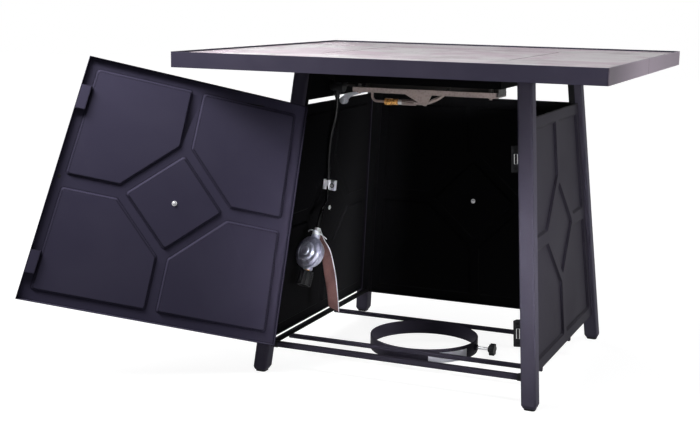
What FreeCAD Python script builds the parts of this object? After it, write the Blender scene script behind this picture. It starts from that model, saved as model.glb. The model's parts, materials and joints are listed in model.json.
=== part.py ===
import FreeCAD, Part
import math
import os

from FreeCAD import Vector

# Fire pit table, in millimetres. Origin: the middle of the table on the floor.
# X runs to the right of the door side, Y runs to the back, Z runs up.

# Table top
TOP_WIDTH = 777.0
TOP_DEPTH = 726.0
TOP_HEIGHT = 600.0
TOP_FACE = TOP_HEIGHT - 3.0
TOP_RIM = 3.0
TOP_CORNER = 2.5
APRON_HEIGHT = 27.8
TOP_SHEET = 1.5
APRON_LIP = 14.0
LID_SIDE = 356.0
LID_GAP = 1.0
LID_DEPTH = 5.8
LID_SLOT_LENGTH = 26.0
LID_SLOT_WIDTH = 10.0
LID_SLOT_SPACING = 40.0
LEDGE_TOP = TOP_HEIGHT - 10.0
LEDGE_WIDTH = 16.0
RAIL_SHEET = 2.0
RAIL_BOTTOM = 574.0
RAIL_FLANGE = 16.0
TOP_BOLT_RADIUS = 4.5
TOP_BOLT_HEIGHT = 3.2

# Legs: the outer corner of each leg leans in towards the top
LEG_SIDE = 27.0
LEG_WALL = 1.5
LEG_CORNER = 3.0
LEG_FLOOR_X = 274.6
LEG_FLOOR_Y = 265.7
LEG_APRON_X = 224.3
LEG_APRON_Y = 196.0
APRON_BOTTOM = TOP_HEIGHT - APRON_HEIGHT
UNDER_TOP = TOP_FACE - TOP_SHEET
FOOT_HEIGHT = 3.6
FOOT_SIDE = 20.0
FOOT_STEM_RADIUS = 5.0
LEG_END_TAPER = 2.5
LEG_END_HEIGHT = 5.4

# Pressed side panels
PANEL_BOTTOM = 56.0
BACK_PANEL_BOTTOM = 48.0
PANEL_TOP = 499.0
PANEL_SETBACK = 8.0
PANEL_SHEET = 1.0
DOOR_LIP = 12.0
SIDE_PANEL_LIP = 4.0
BACK_PANEL_LIP = 8.0
PRESS_DEPTH = 4.0
PRESS_SLOPE = 4.0
PRESS_CORNER = 6.0
RIM_WIDTH = 19.0
BAR_HALF = 9.0
SIDE_BAR_HALF = 11.0
DIAMOND_HALF_WIDTH = 90.0
DIAMOND_HALF_HEIGHT = 88.0
RING_WIDTH_ACROSS = 22.0
PATTERN_MIDDLE = 278.0

# Door and its hinge; the door stands open, as it is drawn
DOOR_SETBACK = 2.0
DOOR_FREE_GAP = 2.5
DOOR_HINGE_GAP = 6.5
HINGE_INSET = 8.0
HINGE_FORWARD = 3.2
DOOR_OPEN_DEG = 144.0
KNUCKLE_RADIUS = 3.0
PIN_RADIUS = 1.6
PIN_PLAY = 0.05
KNUCKLE_LENGTH = 40.0
KNUCKLE_PLAY = 0.4
LEAF_SHEET = 1.2
LEAF_WIDTH = 16.0
HINGE_HEIGHTS = (150.0, 400.0)
CATCH_HEIGHTS = (128.0, 429.0)
CATCH_HEIGHT = 46.0
CATCH_REACH = 16.0
CATCH_DEPTH = 20.0
CATCH_SCREW_REACH = 17.0
POLE_FAR = -10.8
POLE_NEAR = -4.2
POLE_SHEET = 1.4
POLE_DEPTH = 7.8
POLE_HALF_HEIGHT = 8.6
MAGNET_BACK = 1.2
STRIKE_WIDTH = 18.0
STRIKE_HEIGHT = 43.0
STRIKE_SHEET = 1.2
STRIKE_GAP = 0.5

# Lower rails and the ring that holds the gas cylinder's foot
RAIL_HEIGHT = 42.4
RAIL_TALL = 8.0
RAIL_THICK = 8.0
SIDE_RAIL_HEIGHT = 50.6
SIDE_RAIL_THICK = 8.0
SIDE_RAIL_SETBACK = 16.2
FRONT_RAIL_HEIGHT = 51.5
FRONT_RAIL_TALL = 10.6
FRONT_RAIL_DEEP = 8.0
FRONT_RAIL_SETBACK = 16.5
BRACKET_WALL = 0.8
BRACKET_CUP = 9.0
RING_RADIUS = 106.0
RING_SHEET = 2.2
RING_X = -12.7
RING_Y = -36.7
RING_BOTTOM = 19.8
RING_TOP = 46.8
SCREW_HEIGHT = 33.5
SCREW_RADIUS = 3.0
SCREW_LENGTH = 34.0
SCREW_PLAY = 0.06
CLAMP_KNOB_RADIUS = 12.0
CLAMP_KNOB_LENGTH = 13.0

# Burner pan, bracket and gas train
PAN_SIDE = 320.0
PAN_BOTTOM = 544.0
PAN_SHEET = 1.2
PAN_FLANGE = 354.0
BURNER_RADIUS = 111.0
BURNER_TUBE = 8.0
BURNER_HEIGHT = 562.0
BRACKET_LEFT = -127.0
BRACKET_RIGHT = 151.0
BRACKET_FRONT = -150.0
BRACKET_BACK = -85.0
BRACKET_BOTTOM = 527.0
BRACKET_TOP = 536.2
BRACKET_BACK_TOP = 543.4
BRACKET_SHEET = 1.5
BRACKET_CORNER = 8.0
BRACKET_END = 9.0
BOLT_RADIUS = 2.5
BOLT_HOLE = 2.6
BOLT_LENGTH = 30.0
BOLT_BELOW = 4.0
BOLT_HEAD = 4.4
BOLT_SPACER = 4.2
BOLT_NUT = 4.6
BOLT_NUT_HEIGHT = 1.6
STRAP_WIDTH = 7.0
STRAP_EYE_X = -157.5
STRAP_EYE_Z = 507.4
STRAP_EYE = 7.2
STRAP_LINE = (
    (-162.0, 512.5), (-154.3, 520.1), (-144.0, 522.6), (-125.8, BRACKET_BOTTOM - 0.2),
    (-112.0, BRACKET_BOTTOM - 0.1), (-112.0, 524.2), (-123.6, 521.8), (-135.8, 518.0),
    (-146.0, 513.8), (-150.6, 508.0),
)
GAS_LINE_Y = -118.0
GAS_LINE_Z = 509.0
TUBE_HOLE_X = -102.0
TUBE_HOLE = 6.0
MIXER_X = 46.0
MIXER_Y = GAS_LINE_Y + 18.0
MIXER_HOLE = 7.0
SPARK_X = -130.0
SPARK_Y = -60.0
SPARK_HOLE = 2.5
INJECTOR_X = -73.5
INJECTOR_HEX = 6.9
INJECTOR_STEP = 13.0
INJECTOR_LENGTH = 26.0
MIXER_START = -39.5
MIXER_WAIST = -13.0
MIXER_WIDE = 5.2
MIXER_NARROW = 3.4
GUSSET_LEFT = -36.0
GUSSET_RIGHT = 21.0
GUSSET_POINT = 7.5
CONTROL_BOTTOM = 507.0
CONTROL_TOP = 571.0
CONTROL_SHEET = 1.5
VALVE_X = -206.0
VALVE_Y = -39.0
VALVE_Z = 530.0
IGNITER_Y = 30.0

# Hose: where it leaves the valve, its route to the regulator, and its size
HOSE_RADIUS = 4.0
HOSE_ROUTE = (
    (-206.0, -39.0, 505.0),
    (-206.0, -39.0, 484.0),
    (-209.0, -42.0, 460.0),
    (-214.5, -46.0, 434.0),
    (-219.0, -44.0, 404.0),
    (-222.3, -39.5, 373.0),
    (-223.0, -38.0, 345.0),
    (-222.4, -39.5, 320.0),
    (-220.4, -49.0, 302.6),
    (-216.7, -66.2, 292.0),
    (-211.5, -88.4, 290.6),
    (-205.8, -107.8, 286.6),
    (-202.4, -122.0, 275.0),
    (-203.5, -129.6, 258.8),
)
ARC_SHARE = 0.45
CLIP_RUN = 6
CLIP_TALL = 20.0
CLIP_DEEP = 11.0
CLIP_REACH = 26.0
CLIP_PLAY = 1.3
CLIP_ROUND = 2.0
CLIP_SLIT = 0.55
CLIP_SCREW_SPOT = 0.72
REGULATOR_RADIUS = 32.0
REGULATOR_TURN_DEG = 17.0
REGULATOR_BACK = 15.0
REGULATOR_TO_HOSE = 51.0
GAS_WAY_BEHIND = 6.0
UPPER_REACH = 37.0
LOWER_REACH = 33.0
UPPER_RADIUS = 7.0
LOWER_RADIUS = 8.0
NUT_RADIUS = 14.0
NUT_LENGTH = 28.0
NUT_RIB = 2.2
NUT_THREAD = 9.5
NECK_RADIUS = 5.0
NECK_PLAY = 0.06
NIPPLE_SHANK = 17.0
NIPPLE_NOSE = 6.0

ALONG_X = Vector(1, 0, 0)
ALONG_Y = Vector(0, 1, 0)


def leg_x(z):
    """Outer half width of the frame across X at height z."""
    return LEG_FLOOR_X + (LEG_APRON_X - LEG_FLOOR_X) * z / APRON_BOTTOM


def leg_y(z):
    """Outer half width of the frame across Y at height z."""
    return LEG_FLOOR_Y + (LEG_APRON_Y - LEG_FLOOR_Y) * z / APRON_BOTTOM


def block(low, high):
    """A box between two corners."""
    size = [b - a for a, b in zip(low, high)]
    return Part.makeBox(size[0], size[1], size[2], Vector(*low))


def rod(start, end, radius):
    """A round bar between two points."""
    axis = end - start
    return Part.makeCylinder(radius, axis.Length, start, axis)


def pipe_between(start, end, outer, inner):
    """A hollow round bar between two points."""
    return rod(start, end, outer).cut(rod(start, end, inner))


def cone_between(start, end, first, last):
    """A taper between two points."""
    axis = end - start
    return Part.makeCone(first, last, axis.Length, start, axis)


def ring_prism(radius, inner, low, high, x, y):
    """An upright band with a round hole."""
    outer = Part.makeCylinder(radius, high - low, Vector(x, y, low))
    return outer.cut(Part.makeCylinder(inner, high - low, Vector(x, y, low)))


def prism(points, along):
    """A solid swept from a flat outline."""
    return Part.Face(Part.makePolygon(list(points) + [points[0]])).extrude(along)


def rounded_outline(points, radius):
    """A closed wire through the points, with every corner rounded."""
    count = len(points)
    edges = []
    starts = []
    ends = []
    for index, corner in enumerate(points):
        before = (points[index - 1] - corner).normalize()
        after = (points[(index + 1) % count] - corner).normalize()
        half = before.getAngle(after) / 2
        reach = radius / math.tan(half)
        middle = (before + after).normalize()
        centre = corner + middle * (radius / math.sin(half))
        starts.append(corner + before * reach)
        ends.append(corner + after * reach)
        bulge = centre - middle * radius
        edges.append(Part.Arc(starts[-1], bulge, ends[-1]).toShape())
    outline = []
    for index in range(count):
        outline.append(edges[index])
        outline.append(Part.makeLine(ends[index], starts[(index + 1) % count]))
    return Part.Wire(outline)


def inset(points, distance):
    """The same convex outline, moved inwards all round."""
    count = len(points)
    centre = sum(points, Vector(0, 0, 0)) * (1.0 / count)
    lines = []
    for index in range(count):
        first = points[index]
        along = (points[(index + 1) % count] - first).normalize()
        inward = Vector(-along.y, along.x, 0)
        if inward.dot(centre - first) < 0:
            inward = inward * -1
        lines.append((first + inward * distance, along))
    corners = []
    for index in range(count):
        one, first_way = lines[index - 1]
        two, second_way = lines[index]
        spread = first_way.x * second_way.y - first_way.y * second_way.x
        gap = two - one
        step = (gap.x * second_way.y - gap.y * second_way.x) / spread
        corners.append(one + first_way * step)
    return corners


def square(side, x, y, z):
    """Four corners of a level square, counter-clockwise."""
    half = side / 2
    signs = ((-1, -1), (1, -1), (1, 1), (-1, 1))
    return [Vector(x + sx * half, y + sy * half, z) for sx, sy in signs]


def rounded_prism(side, radius, x, y, low, along):
    """A square bar with rounded corners, swept from height low."""
    face = Part.Face(rounded_outline(square(side, x, y, low), radius))
    return face.extrude(along)


def joined(shapes):
    """One solid from pieces that touch."""
    whole = shapes[0]
    for shape in shapes[1:]:
        whole = whole.fuse(shape)
    return whole.removeSplitter()


def group(shapes):
    """Separate solids that share one node."""
    return Part.makeCompound(shapes)


def unit(x, y, z):
    """A direction of length one."""
    return Vector(x, y, z).normalize()


def placed(shape, origin, across, upward, outward):
    """Moves a shape drawn flat into a leaning plane."""
    matrix = FreeCAD.Matrix(
        across.x, upward.x, outward.x, origin.x,
        across.y, upward.y, outward.y, origin.y,
        across.z, upward.z, outward.z, origin.z,
        0, 0, 0, 1,
    )
    moved = shape.copy()
    moved.transformShape(matrix)
    return moved


LEAN_X = math.atan((LEG_FLOOR_X - LEG_APRON_X) / APRON_BOTTOM)
LEAN_Y = math.atan((LEG_FLOOR_Y - LEG_APRON_Y) / APRON_BOTTOM)


def side_frame(side):
    """Origin, across, upward and outward directions of one leaning side, and its lean."""
    if side in ("front", "back"):
        sign = -1 if side == "front" else 1
        outward = Vector(0, sign * math.cos(LEAN_Y), math.sin(LEAN_Y))
        upward = Vector(0, -sign * math.sin(LEAN_Y), math.cos(LEAN_Y))
        origin = Vector(0, sign * LEG_FLOOR_Y, 0)
        lean = LEAN_Y
    else:
        sign = -1 if side == "left" else 1
        outward = Vector(sign * math.cos(LEAN_X), 0, math.sin(LEAN_X))
        upward = Vector(-sign * math.sin(LEAN_X), 0, math.cos(LEAN_X))
        origin = Vector(sign * LEG_FLOOR_X, 0, 0)
        lean = LEAN_X
    return origin, upward.cross(outward), upward, outward, lean


def opening_half(side, z):
    """Half the clear width between the two legs of a side."""
    if side in ("front", "back"):
        return leg_x(z) - LEG_SIDE
    return leg_y(z) - LEG_SIDE


def trapezoid(left, right, low, high, lean, level=0.0):
    """A flat outline between two heights; left and right give its edges."""
    rise = 1.0 / math.cos(lean)
    return [
        Vector(left(low), low * rise, level),
        Vector(right(low), low * rise, level),
        Vector(right(high), high * rise, level),
        Vector(left(high), high * rise, level),
    ]


def press_fields(left, right, low, high, lean):
    """The five pressed fields of a panel: four round a diamond."""
    rise = 1.0 / math.cos(lean)

    def middle(z):
        return (left(z) + right(z)) / 2

    def spot(x, z):
        return Vector(x, z * rise, 0)

    centre = middle(PATTERN_MIDDLE)
    outer_width = DIAMOND_HALF_WIDTH + RING_WIDTH_ACROSS
    outer_height = DIAMOND_HALF_HEIGHT + RING_WIDTH_ACROSS
    fields = [[
        spot(centre, PATTERN_MIDDLE - DIAMOND_HALF_HEIGHT),
        spot(centre + DIAMOND_HALF_WIDTH, PATTERN_MIDDLE),
        spot(centre, PATTERN_MIDDLE + DIAMOND_HALF_HEIGHT),
        spot(centre - DIAMOND_HALF_WIDTH, PATTERN_MIDDLE),
    ]]
    corner_width = outer_width * (1 - SIDE_BAR_HALF / outer_height)
    corner_height = outer_height * (1 - BAR_HALF / outer_width)
    for sign, edge in ((-1, left), (1, right)):
        for way, far in ((-1, low + RIM_WIDTH), (1, high - RIM_WIDTH)):
            near = PATTERN_MIDDLE + way * SIDE_BAR_HALF
            fields.append([
                spot(edge(far) - sign * RIM_WIDTH, far),
                spot(centre + sign * BAR_HALF, far),
                spot(centre + sign * BAR_HALF, PATTERN_MIDDLE + way * corner_height),
                spot(centre + sign * corner_width, near),
                spot(edge(near) - sign * RIM_WIDTH, near),
            ])
    return fields


def pressed_panel(left, right, low, high, lean, lip):
    """A pressed sheet tray, drawn flat: rim at level 0, lips behind it."""
    outline = trapezoid(left, right, low, high, lean)
    deep = PRESS_DEPTH + 8.0
    behind = Vector(0, 0, -deep)
    body = prism(outline, behind)
    for field in press_fields(left, right, low, high, lean):
        mouth = rounded_outline(field, PRESS_CORNER)
        floor = rounded_outline(inset(field, PRESS_SLOPE), PRESS_CORNER - 2.0)
        floor.translate(Vector(0, 0, -PRESS_DEPTH))
        body = body.cut(Part.makeLoft([mouth, floor], True, True))
    lower = body.copy()
    lower.translate(Vector(0, 0, -PANEL_SHEET))
    skin = body.cut(lower)
    wall = prism(outline, Vector(0, 0, -lip))
    hole = prism(inset(outline, PANEL_SHEET), Vector(0, 0, -lip))
    return joined([skin, wall.cut(hole)])


def fixed_panel(side):
    """A pressed panel between two legs."""
    origin, across, upward, outward, lean = side_frame(side)

    def right(z):
        return opening_half(side, z)

    def left(z):
        return -right(z)

    low = BACK_PANEL_BOTTOM if side == "back" else PANEL_BOTTOM
    lip = BACK_PANEL_LIP if side == "back" else SIDE_PANEL_LIP
    flat = pressed_panel(left, right, low, PANEL_TOP, lean, lip)
    return placed(flat, origin - outward * PANEL_SETBACK, across, upward, outward)


def screw_head(centre, outward, radius, height):
    """A domed fastener head standing on a surface."""
    washer = rod(centre, centre + outward * (height * 0.4), radius)
    dome = cone_between(centre + outward * (height * 0.4), centre + outward * height,
                        radius * 0.75, radius * 0.4)
    return joined([washer, dome])


def panel_middle(side):
    """The middle of the diamond on the inner face of a fixed panel, and the way in."""
    origin, across, upward, outward, lean = side_frame(side)
    level = PANEL_SETBACK + PRESS_DEPTH + PANEL_SHEET
    rise = PATTERN_MIDDLE / math.cos(lean)
    return origin + upward * rise - outward * level, outward * -1


def leg(sx, sy):
    """A square tube leg that leans in both ways, closed at its lower end."""
    half = LEG_SIDE / 2

    def centre(z):
        return Vector(sx * (leg_x(z) - half), sy * (leg_y(z) - half), z)

    end_top = FOOT_HEIGHT + LEG_END_HEIGHT
    base = centre(end_top)
    run = centre(UNDER_TOP) - base
    outer = rounded_prism(LEG_SIDE, LEG_CORNER, base.x, base.y, end_top, run)
    floor = centre(end_top + 2.0)
    inner_side = LEG_SIDE - 2 * LEG_WALL
    inner = rounded_prism(inner_side, LEG_CORNER - LEG_WALL, floor.x, floor.y, floor.z,
                          centre(UNDER_TOP) - floor)
    low = centre(FOOT_HEIGHT)
    low_side = LEG_SIDE - 2 * LEG_END_TAPER
    end = Part.makeLoft([
        rounded_outline(square(low_side, low.x, low.y, low.z), LEG_CORNER),
        rounded_outline(square(LEG_SIDE, base.x, base.y, base.z), LEG_CORNER),
    ], True, True)
    stem = Part.makeCylinder(FOOT_STEM_RADIUS, 12.0, Vector(low.x, low.y, FOOT_HEIGHT - 1.0))
    return joined([outer.cut(inner), end]).cut(stem)


def foot(sx, sy):
    """A plastic glide with a stem that plugs into the leg."""
    half = LEG_SIDE / 2
    x = sx * (leg_x(FOOT_HEIGHT) - half)
    y = sy * (leg_y(FOOT_HEIGHT) - half)
    pad = rounded_prism(FOOT_SIDE, 5.0, x, y, 0.0, Vector(0, 0, FOOT_HEIGHT))
    stem = Part.makeCylinder(FOOT_STEM_RADIUS, 5.0, Vector(x, y, FOOT_HEIGHT))
    return joined([pad, stem])


def tabletop():
    """A folded steel top with a raised rim, an apron, and a ledge round the burner hole."""
    half_x = TOP_WIDTH / 2
    half_y = TOP_DEPTH / 2
    outer = block((-half_x, -half_y, APRON_BOTTOM), (half_x, half_y, TOP_HEIGHT))
    upright = [e for e in outer.Edges if abs(e.tangentAt(0).z) > 0.9]
    outer = outer.makeFillet(TOP_CORNER, upright)
    rim = TOP_RIM
    outer = outer.cut(block((-half_x + rim, -half_y + rim, TOP_FACE),
                            (half_x - rim, half_y - rim, TOP_HEIGHT + 1.0)))
    wall = TOP_SHEET
    inner = block((-half_x + wall, -half_y + wall, APRON_BOTTOM + wall),
                  (half_x - wall, half_y - wall, UNDER_TOP))
    lip = APRON_LIP
    below = block((-half_x + lip, -half_y + lip, APRON_BOTTOM - 1.0),
                  (half_x - lip, half_y - lip, APRON_BOTTOM + wall + 1.0))
    hole = LID_SIDE / 2 + LID_GAP
    shell = outer.cut(inner).cut(below)
    shell = shell.cut(block((-hole, -hole, UNDER_TOP - 1.0), (hole, hole, TOP_FACE + 1.0)))
    ledge_low = LEDGE_TOP - wall
    edge = hole + wall
    ledge = block((-edge, -edge, ledge_low), (edge, edge, TOP_FACE))
    ledge = ledge.cut(block((-hole, -hole, LEDGE_TOP), (hole, hole, TOP_FACE + 1.0)))
    bowl = hole - LEDGE_WIDTH
    ledge = ledge.cut(block((-bowl, -bowl, ledge_low - 1.0), (bowl, bowl, LEDGE_TOP + 1.0)))
    return joined([shell, ledge])


def burner_lid():
    """A square cover with a folded edge and two finger slots."""
    half = LID_SIDE / 2
    bottom = TOP_FACE - LID_DEPTH
    cover = block((-half, -half, bottom), (half, half, TOP_FACE))
    inner = half - TOP_SHEET
    cover = cover.cut(block((-inner, -inner, bottom - 1.0), (inner, inner, UNDER_TOP)))
    reach = (LID_SLOT_LENGTH - LID_SLOT_WIDTH) / 2
    round_end = LID_SLOT_WIDTH / 2
    below = UNDER_TOP - 1.0
    above = TOP_FACE + 1.0
    for sign in (-1, 1):
        x = sign * LID_SLOT_SPACING / 2
        cover = cover.cut(block((x - reach, -round_end, below), (x + reach, round_end, above)))
        for way in (-1, 1):
            cover = cover.cut(rod(Vector(x + way * reach, 0, below),
                                  Vector(x + way * reach, 0, above), round_end))
    return cover


def burner_pan():
    """A square pan whose flange rests on the ledge of the top."""
    half = PAN_SIDE / 2
    flange_top = LEDGE_TOP + PAN_SHEET
    bowl = block((-half, -half, PAN_BOTTOM), (half, half, flange_top))
    inner = half - PAN_SHEET
    edge = PAN_FLANGE / 2
    flange = block((-edge, -edge, LEDGE_TOP), (edge, edge, flange_top))
    pan = joined([bowl, flange])
    pan = pan.cut(block((-inner, -inner, PAN_BOTTOM + PAN_SHEET), (inner, inner, flange_top + 1.0)))
    holes = [(MIXER_X, MIXER_Y, MIXER_HOLE), (SPARK_X, SPARK_Y, SPARK_HOLE)]
    holes += [(x, y, BOLT_HOLE) for x, y in bracket_bolt_spots()]
    for x, y, radius in holes:
        pan = pan.cut(drill(x, y, PAN_BOTTOM, radius))
    return pan


def drill(x, y, z, radius):
    """What an upright drill takes out of a sheet whose lower face is at height z."""
    return rod(Vector(x, y, z - 2.0), Vector(x, y, z + 4.0), radius)


def bracket_bolt_spots():
    """Where the four bolts hang the bracket from the pan."""
    xs = (BRACKET_LEFT + 9.0, BRACKET_RIGHT - 15.0)
    ys = (BRACKET_FRONT + 12.0, BRACKET_BACK - 12.0)
    return [(x, y) for x in xs for y in ys]


def burner_bracket():
    """A shallow tray under the pan, open at its left end, that carries the gas train."""
    tray = block((BRACKET_LEFT, BRACKET_FRONT, BRACKET_BOTTOM),
                 (BRACKET_RIGHT, BRACKET_BACK, BRACKET_TOP))
    upright = [e for e in tray.Edges if abs(e.tangentAt(0).z) > 0.9 and e.CenterOfMass.x > 0]
    tray = tray.makeFillet(BRACKET_CORNER, upright)
    wall = BRACKET_SHEET
    end = BRACKET_RIGHT - BRACKET_END
    hollow = block((BRACKET_LEFT - 1.0, BRACKET_FRONT + wall, BRACKET_BOTTOM + wall),
                   (end, BRACKET_BACK - wall, BRACKET_TOP + 1.0))
    pocket = block((end - 1.0, BRACKET_FRONT + BRACKET_END, BRACKET_BOTTOM + wall),
                   (BRACKET_RIGHT - wall, BRACKET_BACK - BRACKET_END, BRACKET_TOP + 1.0))
    tray = joined([tray.cut(hollow).cut(pocket), bracket_back()])
    holes = [(x, y, BOLT_HOLE) for x, y in bracket_bolt_spots()]
    holes.append((TUBE_HOLE_X, GAS_LINE_Y, TUBE_HOLE))
    for x, y, radius in holes:
        tray = tray.cut(drill(x, y, BRACKET_BOTTOM, radius))
    window = block((MIXER_X - 26.0, MIXER_Y - 25.0, BRACKET_BOTTOM - 2.0),
                   (MIXER_X + 10.0, MIXER_Y + 10.0, BRACKET_BOTTOM + 4.0))
    return tray.cut(window)


def bracket_back():
    """The taller back wall and right wall of the tray."""
    back = block((BRACKET_LEFT, BRACKET_BACK - BRACKET_SHEET, BRACKET_BOTTOM),
                 (BRACKET_RIGHT - BRACKET_CORNER, BRACKET_BACK, BRACKET_BACK_TOP))
    right = block((BRACKET_RIGHT - BRACKET_SHEET, BRACKET_FRONT + BRACKET_END, BRACKET_BOTTOM),
                  (BRACKET_RIGHT, BRACKET_BACK - BRACKET_CORNER, BRACKET_BACK_TOP))
    return joined([back, right])


def bracket_bolts():
    """Four bolts with spacers between the bracket and the pan, and low nuts."""
    bolts = []
    for x, y in bracket_bolt_spots():
        shank = Part.makeCylinder(BOLT_RADIUS, BOLT_LENGTH, Vector(x, y, BRACKET_BOTTOM - BOLT_BELOW))
        nut = Part.makeCylinder(BOLT_NUT, BOLT_NUT_HEIGHT,
                                Vector(x, y, BRACKET_BOTTOM - BOLT_NUT_HEIGHT))
        spacer = ring_prism(BOLT_SPACER, BOLT_RADIUS, BRACKET_BOTTOM + BRACKET_SHEET, PAN_BOTTOM, x, y)
        head = Part.makeCylinder(BOLT_HEAD, 2.4, Vector(x, y, PAN_BOTTOM + PAN_SHEET))
        bolts.append(joined([shank, nut, spacer, head]))
    return group(bolts)


def routed_edges(points, share):
    """Straight runs joined by tangent arcs, and the radius of each arc."""
    route = [Vector(*p) for p in points]
    edges = []
    radii = []
    last = route[0]
    for index in range(1, len(route) - 1):
        corner = route[index]
        back = route[index - 1] - corner
        ahead = route[index + 1] - corner
        reach = share * min(back.Length, ahead.Length)
        back.normalize()
        ahead.normalize()
        half = back.getAngle(ahead) / 2
        radius = reach * math.tan(half)
        middle = (back + ahead).normalize()
        centre = corner + middle * (radius / math.sin(half))
        start = corner + back * reach
        end = corner + ahead * reach
        edges.append(Part.makeLine(last, start))
        edges.append(Part.Arc(start, centre - middle * radius, end).toShape())
        radii.append(radius)
        last = end
    edges.append(Part.makeLine(last, route[-1]))
    return edges, radii


def routed_tube(points, radius, share=ARC_SHARE):
    """A round tube along a route, with its arcs' radii and its length."""
    edges, radii = routed_edges(points, share)
    spine = Part.Wire(edges)
    start = Vector(*points[0])
    way = Vector(*points[1]) - start
    section = Part.Wire(Part.makeCircle(radius, start, way))
    tube = spine.makePipeShell([section], True, True)
    if tube.Volume < 0:
        tube.reverse()
    return tube, radii, spine.Length


OUTLET_END = VALVE_X + 21.0
SUPPLY_ROUTE = (
    (OUTLET_END, VALVE_Y, 532.0),
    (OUTLET_END + 20.0, VALVE_Y, 532.0),
    (-141.0, -100.0, 532.0),
    (-122.0, GAS_LINE_Y, 532.0),
    (-100.0, GAS_LINE_Y, 532.0),
    (-100.0, GAS_LINE_Y, GAS_LINE_Z),
    (INJECTOR_X, GAS_LINE_Y, GAS_LINE_Z),
)
MIXER_ROUTE = (
    (MIXER_WAIST, GAS_LINE_Y, GAS_LINE_Z),
    (8.0, GAS_LINE_Y, GAS_LINE_Z),
    (34.0, GAS_LINE_Y + 5.0, 521.0),
    (MIXER_X, MIXER_Y, 538.0),
    (MIXER_X, MIXER_Y, BURNER_HEIGHT - 6.0),
)
LEAD_END = (-183.0, IGNITER_Y, 527.0)
LEAD_ROUTE = (
    LEAD_END,
    (-168.0, IGNITER_Y, 527.0),
    (-152.0, 8.0, 528.0),
    (-140.0, -22.0, 528.0),
    (-131.0, -46.0, 527.0),
    (SPARK_X, SPARK_Y, 534.0),
    (SPARK_X, SPARK_Y, 552.0),
)


def injector():
    """A brass hexagon fitting on the gas line."""
    start = Vector(INJECTOR_X, GAS_LINE_Y, GAS_LINE_Z)
    corners = []
    for step in range(6):
        angle = math.radians(60 * step)
        corners.append(start + Vector(0, math.cos(angle), math.sin(angle)) * INJECTOR_HEX)
    hexagon = prism(corners, ALONG_X * INJECTOR_STEP)
    body = rod(start + ALONG_X * INJECTOR_STEP, start + ALONG_X * INJECTOR_LENGTH, 5.4)
    return joined([hexagon, body])


def injector_nut():
    """A plain lock nut between the injector and the mixer."""
    start = Vector(INJECTOR_X + INJECTOR_LENGTH, GAS_LINE_Y, GAS_LINE_Z)
    return rod(start, start + ALONG_X * 8.0, 4.6)


def mixer_tube():
    """The air mixer: a wide tube with an air window in its front, then a bent narrow one."""
    start = Vector(MIXER_START, GAS_LINE_Y, GAS_LINE_Z)
    waist = Vector(MIXER_WAIST, GAS_LINE_Y, GAS_LINE_Z)
    wide = rod(start, waist, MIXER_WIDE)
    bent, radii, length = routed_tube(MIXER_ROUTE, MIXER_NARROW)
    bore = rod(start, waist - Vector(2.0, 0, 0), MIXER_WIDE - 1.0)
    window = block((MIXER_START + 4.0, GAS_LINE_Y - 8.0, GAS_LINE_Z - 2.4),
                   (MIXER_WAIST - 5.0, GAS_LINE_Y, GAS_LINE_Z + 2.4))
    return joined([wide.cut(bore).cut(window), bent])


def mixer_gusset():
    """A three-cornered plate in front of the mixer, below the bracket."""
    y = GAS_LINE_Y - 8.0
    low = GAS_LINE_Z - 4.0
    corners = [Vector(GUSSET_LEFT, y, BRACKET_BOTTOM), Vector(GUSSET_RIGHT, y, BRACKET_BOTTOM),
               Vector(GUSSET_POINT + 2.5, y, low), Vector(GUSSET_POINT - 2.5, y, low)]
    return prism(corners, Vector(0, 1.5, 0))


def burner_ring():
    """The round burner tube on its two feet."""
    centre = Vector(0, 0, BURNER_HEIGHT)
    tube = Part.makeTorus(BURNER_RADIUS, BURNER_TUBE, centre)
    feet = []
    for angle in (90.0, 210.0, 330.0):
        x = BURNER_RADIUS * math.cos(math.radians(angle))
        y = BURNER_RADIUS * math.sin(math.radians(angle))
        feet.append(Part.makeCylinder(3.0, BURNER_HEIGHT - PAN_BOTTOM - PAN_SHEET - 4.0,
                                      Vector(x, y, PAN_BOTTOM + PAN_SHEET)))
    pin_hole = rod(Vector(MIXER_X, MIXER_Y, BURNER_HEIGHT - 12.0),
                   Vector(MIXER_X, MIXER_Y, BURNER_HEIGHT - 6.0), 5.2)
    return joined([tube] + feet).cut(pin_hole)


def spark_electrode():
    """A ceramic electrode on a small bracket beside the burner."""
    base_z = PAN_BOTTOM + PAN_SHEET
    left = SPARK_X - 10.0
    sheet = 1.2
    plate = block((left, SPARK_Y - 14.0, base_z), (SPARK_X + 10.0, SPARK_Y + 14.0, base_z + sheet))
    plate = plate.cut(drill(SPARK_X, SPARK_Y, base_z, SPARK_HOLE))
    post = block((left, SPARK_Y - 14.0, base_z), (left + sheet, SPARK_Y + 14.0, base_z + 16.0))
    start = Vector(left + sheet, SPARK_Y + 8.0, base_z + 12.0)
    ceramic = rod(start, start + ALONG_X * 20.8, 3.0)
    tip = rod(start + ALONG_X * 20.8, start + ALONG_X * 26.8, 1.2)
    return joined([plate, post, ceramic, tip])


def control_point(y, z, level):
    """A point on the leaning left side, level below the legs' outer plane."""
    origin, across, upward, outward, lean = side_frame("left")
    return origin + upward * (z / math.cos(lean)) - across * y - outward * level


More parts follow.
